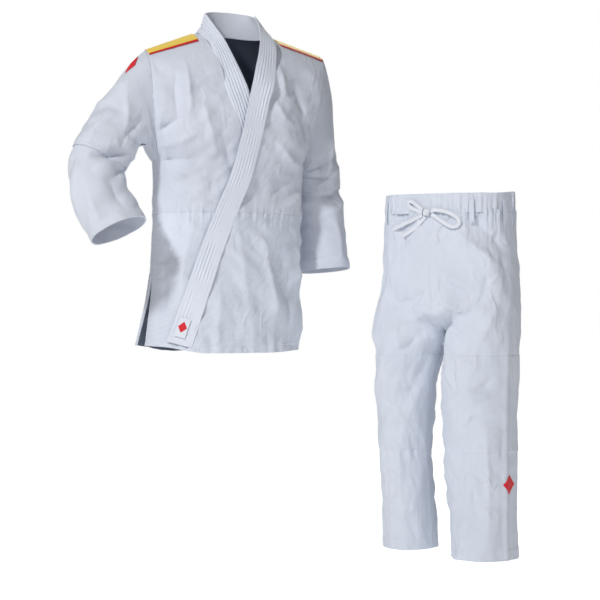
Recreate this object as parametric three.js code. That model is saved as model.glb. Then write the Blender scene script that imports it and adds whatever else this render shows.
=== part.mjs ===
// A judo uniform: a wrap jacket and drawstring trousers, each filled out to the shape it has when worn.
// Millimetres, +Z up. The origin is the middle of the jacket's neck, where the wearer's neck comes through.
// Each garment is drawn in its own frame (x to the wearer's left, y to the back) and then turned about Z.
import * as THREE from "three";

// ---- Driving dimensions ----
const JACKET_TURN = 25; // degrees that the jacket faces to its own left
const JACKET_SHIFT = -10;
const TROUSER_TURN = -28;
const TROUSER_X = 514; // middle of the trousers, beside the jacket

const JACKET_CLOTH = 2.4; // woven jacket cloth
const TROUSER_CLOTH = 1.6;
const LAPEL_WIDTH = 46;
const LAPEL_THICKNESS = 5;
const TRIM = 1; // labels, tapes and embroidered patches
const GAP = 0.6; // clearance between neighbouring pieces along a seam
const LAYER = 1.2; // clearance between cloth that lies on cloth
const WRAP_LIFT = 8; // the outer front rides this far above the inner one

const HEM_Z = -752;
const VENT_Z = -547; // top of the side vents
const WAIST_Z = -422; // seam between the upper body and the skirt
const ARMPIT_Z = -300;
const CAP_Z = -120; // the chest starts to round over to the shoulder here
const NECK_HALF_WIDTH = 90;
const NECK_DEPTH = 43; // how far the back neckline lies behind the neck point
const SIDE_EDGE = 0.988; // a body panel ends at this share of the way round to its side seam

const TROUSER_TOP_Z = -376;
const BAND_HEIGHT = 44;
const RISE_START_Z = -560;
const CROTCH_Z = -718;
const RIGHT_HEM_Z = -1225;
const LEFT_HEM_Z = -1240;

const COLOURS = {
  cloth: 0xe6eaf3, drill: 0xe9edf6, yellow: 0xf2c53a, red: 0xc41f2a, label: 0xf4f4f4, tape: 0xeff1f6,
};

// ---- Small helpers ----
const lerp = THREE.MathUtils.lerp;
const clamp = THREE.MathUtils.clamp;
const span = (from, to, steps) => Array.from({ length: steps + 1 }, (_, i) => lerp(from, to, i / steps));

// A smooth curve through (position, value) knots: cubic pieces whose slopes are the mean slopes at each knot.
function through(knots) {
  const n = knots.length;
  const rise = (i, j) => (knots[j][1] - knots[i][1]) / (knots[j][0] - knots[i][0]);
  const slopes = knots.map((_, i) => rise(Math.max(0, i - 1), Math.min(n - 1, i + 1)));
  return (at) => {
    const x = clamp(at, knots[0][0], knots[n - 1][0]);
    let i = 0;
    while (i < n - 2 && x > knots[i + 1][0]) i++;
    const step = knots[i + 1][0] - knots[i][0];
    const t = (x - knots[i][0]) / step;
    const [a, b] = [knots[i][1], knots[i + 1][1]];
    const [p, q] = [slopes[i] * step, slopes[i + 1] * step];
    return a + t * (p + t * (3 * (b - a) - 2 * p - q + t * (2 * (a - b) + p + q)));
  };
}

// The same, for rows of numbers: each column is a smooth curve of the first one.
function rowsThrough(rows) {
  const columns = rows[0].slice(1).map((_, k) => through(rows.map((row) => [row[0], row[k + 1]])));
  return (at) => columns.map((column) => column(at));
}

// ---- Cloth as a solid ----
// A surface is a function of (u, v). The solid lies between two offsets along its outward normal.
function normalAt(surface, u, v, du, dv) {
  const along = surface(u + du, v).sub(surface(u - du, v));
  const up = surface(u, v + dv).sub(surface(u, v - dv));
  return along.cross(up).normalize();
}

function shell(surface, us, vs, outer, inner, { wrap = false, facing = 1 } = {}) {
  const [columns, rows] = [us.length, vs.length];
  const du = Math.abs(us[1] - us[0]) * 0.02;
  const dv = Math.abs(vs[1] - vs[0]) * 0.02;
  const points = [];
  for (const offset of [outer, inner]) {
    for (const v of vs) {
      for (const u of us) {
        const lift = typeof offset === "function" ? offset(u, v) : offset;
        const normal = normalAt(surface, u, v, du, dv).multiplyScalar(facing * lift);
        points.push(surface(u, v).add(normal));
      }
    }
  }
  const at = (layer, row, column) => (layer * rows + row) * columns + (column % columns);
  const faces = [];
  const quad = (a, b, c, d) => faces.push(a, b, c, a, c, d);
  const lastRow = rows - 1;
  const edge = columns - 1;
  const lastColumn = wrap ? columns : edge;
  for (let row = 0; row < rows - 1; row++) {
    for (let column = 0; column < lastColumn; column++) {
      quad(at(0, row, column), at(0, row, column + 1), at(0, row + 1, column + 1), at(0, row + 1, column));
      quad(at(1, row, column), at(1, row + 1, column), at(1, row + 1, column + 1), at(1, row, column + 1));
    }
  }
  for (let column = 0; column < lastColumn; column++) {
    quad(at(0, 0, column + 1), at(0, 0, column), at(1, 0, column), at(1, 0, column + 1));
    quad(at(0, lastRow, column), at(0, lastRow, column + 1), at(1, lastRow, column + 1), at(1, lastRow, column));
  }
  if (!wrap) {
    for (let row = 0; row < rows - 1; row++) {
      quad(at(0, row, 0), at(0, row + 1, 0), at(1, row + 1, 0), at(1, row, 0));
      quad(at(0, row + 1, edge), at(0, row, edge), at(1, row, edge), at(1, row + 1, edge));
    }
  }
  return closed(points, faces);
}

// A geometry from points and triangles, turned so that its faces point out.
function closed(points, faces) {
  let volume = 0;
  for (let i = 0; i < faces.length; i += 3) {
    const [a, b, c] = [points[faces[i]], points[faces[i + 1]], points[faces[i + 2]]];
    volume += a.dot(b.clone().cross(c));
  }
  const turned = [...faces];
  if (volume < 0) turned.reverse();
  const geometry = new THREE.BufferGeometry().setFromPoints(points);
  geometry.setIndex(turned);
  return geometry;
}

const jacket = new THREE.Group();
jacket.rotation.z = THREE.MathUtils.degToRad(JACKET_TURN);
jacket.position.x = JACKET_SHIFT;
const trousers = new THREE.Group();
trousers.rotation.z = THREE.MathUtils.degToRad(TROUSER_TURN);
trousers.position.x = TROUSER_X;

function piece(garment, name, geometry, colour) {
  const material = new THREE.MeshStandardMaterial({ color: COLOURS[colour], roughness: 0.9, metalness: 0 });
  const mesh = new THREE.Mesh(geometry, material);
  mesh.name = name;
  garment.add(mesh);
}

// ---- Jacket body ----
// Half widths on the wearer's right and left, from the hem up; height 0 is the shoulder ridge.
const rightHalf = through([[-752, 208], [-600, 192], [-422, 184], [-300, 187], [-260, 200], [-216, 212],
  [-120, 222], [0, 224]]);
const leftHalf = through([[-752, 180], [-600, 182], [-422, 184], [-300, 187], [-223, 196], [-120, 220],
  [0, 240]]);
const depthOf = {
  front: through([[-752, 122], [-600, 116], [-422, 110], [-300, 118], [-200, 120], [-120, 112]]),
  back: through([[-752, 122], [-600, 118], [-422, 108], [-300, 118], [-200, 118], [-120, 106]]),
};
const middleY = through([[-752, 38], [-422, 34], [-288, 26], [-120, 8], [0, 0]]);
const ridgeZ = through([[-243, -50], [-160, -18], [-90, 8], [0, 34], [90, 8], [160, -12], [243, -36]]);
const ARMHOLE = { z: -170, halfHeight: 126, halfDepth: 62, ringDepth: 296 };
const ROUND = 0.9; // the body's plan is an ellipse with slightly squared corners
const CHEST_ROUND = 1.5; // and a sharper one at the chest, where the cloth runs out to the armhole
const CHEST_BLEND = 150; // height over which the plan changes from one to the other
const SHOULDER_ROUND = 1.3; // how the depth closes towards the shoulder ridge

// How far the armhole's edge stands in front of or behind the middle.
function armholeDepth(height) {
  const t = (height - ARMHOLE.z) / ARMHOLE.halfHeight;
  return ARMHOLE.halfDepth * Math.sqrt(Math.max(0, 1 - t * t));
}
const halfAt = (x, height) => (x < 0 ? rightHalf(height) : leftHalf(height));

// A point of the jacket's body. Round is -1 at the right side seam, 0 at the middle and 1 at the left side seam;
// height runs from the hem up to 0 at the shoulder ridge.
function body(side, round, height) {
  const level = Math.min(height, CAP_Z);
  const turn = (clamp((height - CAP_Z) / -CAP_Z, 0, 1) * Math.PI) / 2;
  const angle = (Math.abs(round) * Math.PI) / 2;
  const x = Math.sign(round) * halfAt(round, height) * Math.pow(Math.sin(angle), ROUND);
  const edge = armholeDepth(level);
  const flatness = lerp(ROUND, CHEST_ROUND, clamp((level - ARMPIT_Z) / CHEST_BLEND, 0, 1));
  const bulge = Math.pow(Math.max(0, Math.cos(angle)), flatness);
  const closing = Math.pow(Math.max(0, Math.cos(turn)), SHOULDER_ROUND);
  const depth = (edge + (depthOf[side](level) - edge) * bulge) * closing;
  const y = middleY(height) + (side === "front" ? -depth : depth);
  const z = height <= CAP_Z ? height : CAP_Z + (ridgeZ(x) - CAP_Z) * Math.sin(turn);
  return new THREE.Vector3(x, y, z);
}

// The same surface from x instead of the way round.
function roundOf(x, height) {
  const share = clamp(Math.abs(x) / halfAt(x, height), 0, 1);
  return (Math.sign(x) * Math.asin(Math.pow(share, 1 / ROUND)) * 2) / Math.PI;
}
const frontAt = (x, height) => body("front", roundOf(x, height), height);

// Where each front's lapel is sewn on, and the line that the outer front opens about, as x at a height.
const outerSeam = through([[-752, -140], [-664, -112], [-506, -60], [-330, 6], [-161, 42], [-53, 78],
  [0, 90]]);
const innerSeam = through([[-752, 108], [-600, 84], [-420, 42], [-300, 5], [-178, -34], [-60, -80],
  [0, -92]]);
const FOLD_TOP_Z = -112; // above this the outer front stays put
const FOLD_X = { top: 62, hem: 150 };
const foldLine = (height) => lerp(FOLD_X.top, FOLD_X.hem, (height - FOLD_TOP_Z) / (HEM_Z - FOLD_TOP_Z));
const FOLD_GAP = 0.03;

const bodyHeights = [WAIST_Z + GAP, -380, -340, -300, -262, -216, -170, CAP_Z, -92, -62, -32, -12, -3];
const skirtHeights = [HEM_Z, -690, -620, -547, -480, WAIST_Z - GAP];

// The outer front rides over the inner one. It comes down at the side seam and above the place where they cross.
const WRAP_FADE = { round: 0.3, high: 100, low: 210 };
function wrapLift(round, height) {
  const fromSide = THREE.MathUtils.smoothstep(SIDE_EDGE - round, 0, WRAP_FADE.round);
  return WRAP_LIFT * fromSide * THREE.MathUtils.smoothstep(-height, WRAP_FADE.high, WRAP_FADE.low);
}

// A front panel between two edges that move with height.
function frontPanel(from, to, heights, columns, lift) {
  const roundAt = (u, height) => lerp(from(height), to(height), u);
  const surface = (u, height) => body("front", roundAt(u, height), height);
  const offset = (extra) => (u, height) => lift(roundAt(u, height), height) + extra;
  return shell(surface, span(0, 1, columns), heights, offset(0), offset(-JACKET_CLOTH));
}
const flat = () => 0;
const SEAM_GAP = 0.009;
const rightSide = () => -SIDE_EDGE;
const leftSide = () => SIDE_EDGE;
const innerEdge = (height) => roundOf(innerSeam(height), height) - SEAM_GAP;
const outerEdge = (height) => roundOf(outerSeam(height), height) + SEAM_GAP;
const foldEdge = (height) => roundOf(foldLine(height), height);
const beyondFold = (height) => (height > FOLD_TOP_Z ? outerEdge(height) : foldEdge(height) + FOLD_GAP);

piece(jacket, "right_front_upper", frontPanel(rightSide, innerEdge, bodyHeights, 8, flat), "cloth");
piece(jacket, "right_front_skirt", frontPanel(rightSide, innerEdge, skirtHeights, 8, flat), "cloth");
const shoulderHeights = bodyHeights.filter((height) => height > FOLD_TOP_Z);
const sideHeights = bodyHeights.filter((height) => height < FOLD_TOP_Z);
piece(jacket, "left_side_upper", frontPanel(beyondFold, leftSide, sideHeights, 6, wrapLift), "cloth");
piece(jacket, "left_shoulder_front",
  frontPanel(outerEdge, leftSide, [CAP_Z + 2, ...shoulderHeights], 8, wrapLift), "cloth");
piece(jacket, "left_side_skirt", frontPanel(beyondFold, leftSide, skirtHeights, 4, wrapLift), "cloth");
piece(jacket, "left_front_upper", frontPanel(outerEdge, foldEdge, sideHeights, 5, wrapLift), "cloth");
piece(jacket, "left_front_skirt", frontPanel(outerEdge, foldEdge, skirtHeights, 7, wrapLift), "cloth");

// The back runs up to the ridge, and dips round the neck.
const neckDip = (x) => NECK_DEPTH * Math.sqrt(Math.max(0, 1 - (x / NECK_HALF_WIDTH) ** 2));
function backUpper(round, v) {
  if (v <= CAP_Z) return body("back", round, v);
  const x = body("back", round, CAP_Z).x;
  const share = (v - CAP_Z) / -CAP_Z;
  return body("back", round, lerp(CAP_Z, -neckDip(x), share));
}
const halfRounds = [0.13, 0.26, 0.4, 0.55, 0.7, 0.85, SIDE_EDGE];
const backRounds = [...halfRounds.map((round) => -round).reverse(), 0, ...halfRounds];
const backSurface = (round, height) => body("back", round, height);
const OUT_BACK = { facing: -1 };
function backPanel(name, surface, heights) {
  piece(jacket, name, shell(surface, backRounds, heights, 0, -JACKET_CLOTH, OUT_BACK), "cloth");
}
backPanel("back_upper", backUpper, bodyHeights);
backPanel("back_skirt", backSurface, [VENT_Z + GAP, -500, -460, WAIST_Z - GAP]);
// Below the vents the back hangs free and stands away from the fronts, most at its two side edges.
const TAIL_FLARE = { middle: 14, side: 44, growth: 1.3 };
function tail(round, height) {
  const share = clamp((VENT_Z - height) / (VENT_Z - HEM_Z), 0, 1);
  const flare = lerp(TAIL_FLARE.middle, TAIL_FLARE.side, round * round) * share ** TAIL_FLARE.growth;
  return body("back", round, height).add(new THREE.Vector3(0, flare, 0));
}
backPanel("back_tail", tail, [HEM_Z, -690, -620, VENT_Z - GAP]);

// Seam tape inside the back of the waist, and reinforcing patches inside the top of each vent.
const TAPE_IN = -JACKET_CLOTH - LAYER;
const tape = (surface, rounds, heights) => shell(surface, rounds, heights, TAPE_IN, TAPE_IN - TRIM, OUT_BACK);
const HALF_TAPE = 14;
const tapeHeights = [WAIST_Z - HALF_TAPE, WAIST_Z, WAIST_Z + HALF_TAPE];
piece(jacket, "waist_tape", tape(backSurface, backRounds.slice(1, -1), tapeHeights), "tape");
const ventHeights = [VENT_Z + 4, VENT_Z + 24, VENT_Z + 48];
piece(jacket, "right_vent_patch", tape(backSurface, span(-0.94, -0.85, 2), ventHeights), "tape");
piece(jacket, "left_vent_patch", tape(backSurface, span(0.85, 0.94, 2), ventHeights), "tape");
piece(jacket, "neck_label", tape(backUpper, span(-0.13, 0.13, 2), [-92, -62]), "label");

// ---- Lapel ----
// The lapel is a band between its sewn edge and its free edge. On the chest both edges lie on the front.
function chestStation(seam, toFree, height, lift) {
  const slope = (seam(height + 5) - seam(height - 5)) / 10;
  const length = Math.hypot(1, slope);
  const freeX = seam(height) + (toFree * LAPEL_WIDTH) / length;
  const freeHeight = height - (toFree * slope * LAPEL_WIDTH) / length;
  const lifted = (x, h) => frontAt(x, h).add(new THREE.Vector3(0, -lift, 0));
  return [lifted(seam(height), height), lifted(freeX, freeHeight)];
}
// Round the neck the band stands up: sewn along the neckline, with its free edge above and inside it.
function neckStation(angle) {
  const x = NECK_HALF_WIDTH * Math.sin(angle);
  const sewn = body("back", roundOf(x, -60), -neckDip(x)).add(new THREE.Vector3(0, -3, 4));
  const [across, back] = [Math.sin(angle), Math.cos(angle)];
  const free = new THREE.Vector3(62 * across - 3, 4 + 38 * back, 56 + 12 * back);
  return [sewn, free];
}
// A smooth band through stations: u runs from the sewn edge to the free edge, and v along the lapel.
function band(stations) {
  const edges = [0, 1].map((k) => new THREE.CatmullRomCurve3(stations.map((s) => s[k]), false, "centripetal"));
  return (u, v) => edges[0].getPoint(clamp(v, 0, 1)).lerp(edges[1].getPoint(clamp(v, 0, 1)), u);
}
const bandSolid = (stations, steps, outer, inner) =>
  shell(band(stations), [0.03, 0.35, 0.68, 1], span(0.006, 0.994, steps), outer, inner, { facing: -1 });

const point = (x, y, z) => new THREE.Vector3(x, y, z);
const outerHeights = [-738, -664, -590, -506, -420, -330, -245, -161];
const outerStations = outerHeights.map((height) => chestStation(outerSeam, -1, height, WRAP_LIFT));
const neckStations = span(Math.PI / 2 - 0.05, -Math.PI / 2 + 0.05, 8).map(neckStation);
const onFront = (x, height, lift) => frontAt(x, height).add(new THREE.Vector3(0, -lift, lift / 3));
const besideNeckLeft = [
  [onFront(outerSeam(-66), -66, 9), point(37, -94, -36)],
  [onFront(outerSeam(-24), -24, 6), point(53, -50, 12)],
];
const besideNeckRight = [
  [onFront(innerSeam(-24), -24, 4), point(-59, -38, 22)],
  [onFront(innerSeam(-66), -66, 4), point(-44, -74, -22)],
];
const lastOuter = chestStation(outerSeam, -1, CAP_Z - 2, WRAP_LIFT);
piece(jacket, "lapel_left", bandSolid([...outerStations, lastOuter], 20, LAPEL_THICKNESS, 0), "cloth");
const topStations = [-118, -100].map((height) => chestStation(outerSeam, -1, height, WRAP_LIFT));
piece(jacket, "lapel_left_top", bandSolid([...topStations, ...besideNeckLeft, neckStations[0]], 6,
  LAPEL_THICKNESS, 0), "cloth");
piece(jacket, "lapel_neck", bandSolid(neckStations, 14, LAPEL_THICKNESS, 0), "cloth");
const innerHeights = [-135, -178, -240, -300, -360, -420, -510, -600, -680, -738];
const innerStations = innerHeights.map((height) => chestStation(innerSeam, 1, height, 0));
piece(jacket, "lapel_right",
  bandSolid([neckStations.at(-1), ...besideNeckRight, ...innerStations], 22, 1.6, -JACKET_CLOTH), "cloth");

// A small woven label near the foot of the outer lapel.
piece(jacket, "lapel_label",
  shell(band(outerStations), [0.3, 0.8], span(0.03, 0.11, 3), LAPEL_THICKNESS + LAYER + TRIM,
    LAPEL_THICKNESS + LAYER, { facing: -1 }), "label");

// ---- Shoulder stripes ----
// A yellow band along each shoulder ridge, edged in front and behind by a narrow red tape.
function overShoulder(x, way) {
  return way < 0 ? body("front", roundOf(x, way), way) : body("back", roundOf(x, -way), -way);
}
function stripe(name, from, to, low, high, colour) {
  const ways = high - low > 12 ? span(low, high, 4) : [low, high];
  const solid = shell(overShoulder, span(from, to, 5), ways, LAYER + TRIM, LAYER);
  piece(jacket, name, solid, colour);
}
for (const [side, from, to] of [["right", -212, -104], ["left", 106, 228]]) {
  stripe(`${side}_stripe_front_edge`, from, to, -46, -41, "red");
  stripe(`${side}_stripe`, from, to, -40, -5, "yellow");
  stripe(`${side}_stripe_back_edge`, from, to, 5, 12, "red");
}

// ---- Sleeves ----
// A sleeve is a tube: its first ring is the armhole, and the others are ovals square to the arm's line.
function armholeRing(side) {
  return (turn) => {
    const height = -(ARMHOLE.ringDepth / 2) * (1 - Math.cos(turn * 2 * Math.PI)) - 1;
    const half = turn < 0.5 ? "front" : "back";
    return body(half, side, height);
  };
}
// An oval round a centre, square to the line of the arm; turn 0 is its top and turns run over the front.
function ovalRing(centre, along, across, deep, side) {
  const forward = new THREE.Vector3(0, -1, 0);
  const top = new THREE.Vector3().crossVectors(forward, along).multiplyScalar(side).normalize();
  const front = new THREE.Vector3().crossVectors(along, top).multiplyScalar(side).normalize();
  return (turn) => {
    const angle = turn * 2 * Math.PI;
    const out = top.clone().multiplyScalar(across * Math.cos(angle));
    return out.addScaledVector(front, deep * Math.sin(angle)).add(centre);
  };
}
// Stations down an arm: distance along it, centre, and half sizes across and deep. The underside of a hanging
// sleeve starts lower than its top, so it reaches further down the arm at the same way.
const SLOPE_END = 216;
const HEAD_END = 100; // the armhole's ring has turned into the arm's oval here
const HEAD_OUT = { start: 3, growth: 0.15 }; // how far outside the armhole the head starts, and its growth
function sleeve(side, stations, reach) {
  const rows = rowsThrough(stations);
  const ring = armholeRing(side);
  return (turn, way) => {
    const under = (1 - Math.cos(turn * 2 * Math.PI)) / 2;
    const down = way + reach * under * Math.max(0, 1 - way / SLOPE_END);
    const [x, y, z, across, deep] = rows(down);
    const next = rows(down + 4);
    const last = rows(down - 4);
    const along = new THREE.Vector3(next[0] - last[0], next[1] - last[1], next[2] - last[2]).normalize();
    const oval = ovalRing(new THREE.Vector3(x, y, z), along, across, deep, side)(turn);
    const sewn = ring(turn).add(new THREE.Vector3(side * (HEAD_OUT.start + way * HEAD_OUT.growth), 0, 0));
    return sewn.lerp(oval, THREE.MathUtils.smoothstep(way, 0, HEAD_END));
  };
}
const SLEEVE = {
  right: {
    side: -1,
    stations: [[0, -250, 4, -172, 72, 60], [90, -268, 0, -202, 68, 56], [180, -312, -8, -258, 67, 55],
      [262, -345, -14, -320, 67, 55], [340, -344, -50, -394, 68, 54], [430, -318, -88, -470, 70, 54]],
    reach: 60, upper: 94, elbow: [200, 276], end: 428,
  },
  left: {
    side: 1,
    stations: [[0, 262, 12, -160, 64, 60], [90, 260, 30, -214, 56, 60], [180, 263, 44, -292, 56, 62],
      [262, 268, 48, -370, 57, 63], [340, 271, 46, -448, 59, 66], [450, 271, 36, -556, 61, 70]],
    reach: 178, upper: 94, elbow: [220, 290], end: 448,
  },
};
const CUFF_WIDTH = 28;
const SLEEVE_GAP = 1.5; // half the clearance between the lengths of a sleeve
function tube(surface, ways, outer, inner, side) {
  const turns = span(0, 1, 16).slice(0, -1);
  return shell(surface, turns, ways, outer, inner, { wrap: true, facing: side });
}
for (const [name, { side, stations, reach, upper, elbow, end }] of Object.entries(SLEEVE)) {
  const surface = sleeve(side, stations, reach);
  const cloth = (from, to, steps) => tube(surface, span(from, to, steps), 0, -JACKET_CLOTH, side);
  piece(jacket, `${name}_sleeve_head`, cloth(4, upper - SLEEVE_GAP, 3), "cloth");
  piece(jacket, `${name}_upper_sleeve`, cloth(upper + SLEEVE_GAP, elbow[0] - SLEEVE_GAP, 4), "cloth");
  piece(jacket, `${name}_elbow`, cloth(elbow[0] + SLEEVE_GAP, elbow[1] - SLEEVE_GAP, 3), "cloth");
  piece(jacket, `${name}_forearm`, cloth(elbow[1] + SLEEVE_GAP, end - GAP, 5), "cloth");
  const inner = -JACKET_CLOTH - LAYER;
  piece(jacket, `${name}_cuff`,
    tube(surface, span(end - CUFF_WIDTH, end - GAP, 1), inner, inner - JACKET_CLOTH, side), "cloth");
}
const rightSleeve = sleeve(-1, SLEEVE.right.stations, SLEEVE.right.reach);
piece(jacket, "sleeve_patch",
  shell(rightSleeve, span(0.02, 0.1, 2), span(26, 48, 2), LAYER + TRIM, LAYER, { facing: -1 }), "red");

// ---- Trousers ----
// Each half is a front and a back. Above the crotch its plan is a quarter oval, and below it a leg's half oval.
const SEAT_ROUND = 0.85; // the seat's plan is an ellipse with squared corners
const SEAM_SIDE = 0.8; // half the width of the centre seam
const waistHalf = through([[-1256, 170], [-718, 178], [-560, 166], [-430, 160], [-338, 154]]);
const seatDepth = {
  front: through([[-900, 92], [-718, 96], [-560, 104], [-430, 100], [-338, 96]]),
  back: through([[-900, 96], [-718, 106], [-600, 120], [-520, 118], [-430, 104], [-338, 96]]),
};
// Legs: centre x, half width, centre y, half depth, at a height.
const legRows = {
  right: rowsThrough([[-1256, -106, 62, 8, 78], [-1100, -110, 60, 6, 78], [-985, -117, 60, 2, 80],
    [-856, -116, 66, 0, 84], [-758, -106, 80, 0, 92], [-718, -99, 94, 0, 96]]),
  left: rowsThrough([[-1256, 84, 80, 10, 84], [-1100, 83, 79, 8, 84], [-985, 84, 80, 4, 86],
    [-856, 85, 82, 2, 90], [-758, 87, 84, 0, 94], [-718, 88, 84, 0, 96]]),
};
// A point of one leg: way 0 is the side seam and 1 the centre seam or inseam.
function leg(side, half, way, height) {
  const sign = side === "right" ? -1 : 1;
  const face = half === "front" ? -1 : 1;
  const [centreX, halfWidth, centreY, halfDepth] = legRows[side](height);
  const quarter = (way * Math.PI) / 2;
  const seatX = sign * (waistHalf(height) * Math.pow(Math.max(0, Math.cos(quarter)), SEAT_ROUND) + SEAM_SIDE);
  const seatY = face * seatDepth[half](height) * Math.pow(Math.max(0, Math.sin(quarter)), SEAT_ROUND);
  const legX = centreX + sign * halfWidth * Math.cos(2 * quarter);
  const legY = centreY + face * halfDepth * Math.sin(2 * quarter);
  const joined = THREE.MathUtils.smoothstep(RISE_START_Z - height, 0, RISE_START_Z - CROTCH_Z);
  return new THREE.Vector3(lerp(seatX, legX, joined), lerp(seatY, legY, joined), height);
}
const BAND_LOW_Z = TROUSER_TOP_Z - BAND_HEIGHT;
const KNEE = { z: -856, half: 60 };
const KNEE_TOP_Z = KNEE.z + KNEE.half;
const SHIN_TOP_Z = KNEE.z - KNEE.half;
const thighHeights = [KNEE_TOP_Z + GAP, CROTCH_Z, -690, -650, -600, RISE_START_Z, -500, BAND_LOW_Z - GAP];
for (const side of ["right", "left"]) {
  const sign = side === "right" ? -1 : 1;
  for (const half of ["front", "back"]) {
    const face = half === "front" ? -1 : 1;
    const surface = (way, height) => leg(side, half, way, height);
    const facing = sign * face;
    piece(trousers, `${side}_${half}_panel`,
      shell(surface, span(0.012, 0.988, 8), thighHeights, 0, -TROUSER_CLOTH, { facing }), "drill");
  }
  const round = (turn, height) =>
    turn < 0.5 ? leg(side, "front", 2 * turn, height) : leg(side, "back", 2 - 2 * turn, height);
  const hem = side === "right" ? RIGHT_HEM_Z : LEFT_HEM_Z;
  const legTube = (heights, outer, inner) => tube(round, heights, outer, inner, sign);
  piece(trousers, `${side}_knee`,
    legTube(span(SHIN_TOP_Z + GAP, KNEE_TOP_Z - GAP, 3), 0, -TROUSER_CLOTH), "drill");
  piece(trousers, `${side}_shin`, legTube(span(hem, SHIN_TOP_Z - GAP, 5), 0, -TROUSER_CLOTH), "drill");
  const hemInner = -TROUSER_CLOTH - LAYER;
  piece(trousers, `${side}_hem_band`, legTube([hem, hem + 30], hemInner, hemInner - TROUSER_CLOTH), "drill");
}

// The gusset closes the fork between the four panels from inside.
const gusset = new THREE.SphereGeometry(1, 12, 8).scale(3.4, 46, 6).translate(0, 0, CROTCH_Z - 14);
piece(trousers, "crotch_gusset", gusset, "drill");

// ---- Waistband, belt loops and drawstring ----
// A point of the waist: way round is -1 at the right side seam, 0 at the middle and 1 at the left side seam.
const waistPoint = (half) => (round, height) =>
  leg(round < 0 ? "right" : "left", half, 1 - Math.abs(round), height);
const waistRound = (x) => {
  const share = (Math.abs(x) - SEAM_SIDE) / waistHalf(BAND_LOW_Z);
  return Math.sign(x) * (1 - (Math.acos(Math.pow(Math.max(0, share), 1 / SEAT_ROUND)) * 2) / Math.PI);
};
const BAND_OUT = 1.2;
const BACK_RISE = 9; // the back of the waist stands this much higher
const waistRounds = span(-0.985, 0.985, 18);
piece(trousers, "waistband_front",
  shell(waistPoint("front"), waistRounds, [BAND_LOW_Z, TROUSER_TOP_Z], BAND_OUT, -TROUSER_CLOTH), "drill");
piece(trousers, "waistband_back",
  shell(waistPoint("back"), waistRounds, [BAND_LOW_Z, TROUSER_TOP_Z + BACK_RISE], BAND_OUT, -TROUSER_CLOTH,
    { facing: -1 }), "drill");

const LOOP = { high: -390, low: -446, halfWidth: 7, out: 3.4, thickness: 1.6 };
const loops = [["front_right", "front", -135], ["front_left", "front", 93], ["side_left", "front", 153],
  ["back_right", "back", -88], ["back_left", "back", 88]];
for (const [name, half, x] of loops) {
  const middle = waistRound(x);
  const spread = (LOOP.halfWidth / waistHalf(BAND_LOW_Z)) * 0.62;
  const surface = (u, height) => waistPoint(half)(middle + u * spread, height);
  const facing = half === "front" ? 1 : -1;
  const loopHeights = span(LOOP.low, LOOP.high, 3);
  piece(trousers, `belt_loop_${name}`,
    shell(surface, [-1, 1], loopHeights, LOOP.out, LOOP.out - LOOP.thickness, { facing }), "drill");
}

// The drawstring's bow: a knot, two loops and two ends, of flat tape that lies on the waistband.
const TAPE = { width: 9, thickness: 2.6 };
const onWaist = ([x, height, lift]) => {
  const round = waistRound(x);
  const at = waistPoint("front");
  const normal = normalAt(at, round, height, 0.01, 1);
  return at(round, height).addScaledVector(normal, lift);
};
const oval = new THREE.Shape().absellipse(0, 0, TAPE.thickness / 2, TAPE.width / 2, 0, 2 * Math.PI);
const KNOT = [-15, -421, 8];
const knot = new THREE.SphereGeometry(1, 12, 8).scale(9, 5, 8);
piece(trousers, "drawstring_knot", knot.translate(...onWaist(KNOT)), "tape");
// Routes as [x, height, distance off the waist], starting and ending beside the knot.
const BOW = {
  drawstring_loop_left: [[-26, -415, 6], [-38, -406, 7], [-50, -397, 8], [-59, -394, 8], [-64, -400, 8],
    [-58, -408, 7], [-44, -415, 6], [-27, -421, 6]],
  drawstring_loop_right: [[-3, -417, 8], [12, -416, 9], [30, -419, 9], [48, -426, 9], [61, -435, 9],
    [66, -446, 8], [58, -455, 8], [44, -454, 7], [28, -445, 6], [12, -434, 6], [-3, -426, 6]],
  drawstring_end_left: [[-26, -428, 7], [-44, -435, 6], [-64, -443, 6], [-86, -451, 6], [-106, -458, 6]],
  drawstring_end_right: [[-20, -431, 4], [-32, -444, 4], [-46, -457, 4], [-62, -467, 4], [-80, -475, 4]],
};
for (const [name, route] of Object.entries(BOW)) {
  const line = new THREE.CatmullRomCurve3(route.map(onWaist), false, "centripetal");
  const steps = Math.ceil(line.getLength() / TAPE.width) * 2;
  const settings = { extrudePath: line, steps, curveSegments: 4, bevelEnabled: false };
  piece(trousers, name, new THREE.ExtrudeGeometry(oval, settings), "tape");
}

// A small embroidered patch low on the outside of the left leg.
const PATCH_OUT = 3;
const leftShinFront = (way, height) => leg("left", "front", way, height);
const patchHeights = span(-1082, -1040, 2);
piece(trousers, "leg_patch",
  shell(leftShinFront, span(0.03, 0.16, 2), patchHeights, PATCH_OUT + TRIM, PATCH_OUT, { facing: -1 }), "red");

export default new THREE.Group().add(jacket, trousers);
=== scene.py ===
"""A judo uniform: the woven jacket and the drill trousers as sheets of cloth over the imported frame."""
import math

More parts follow.
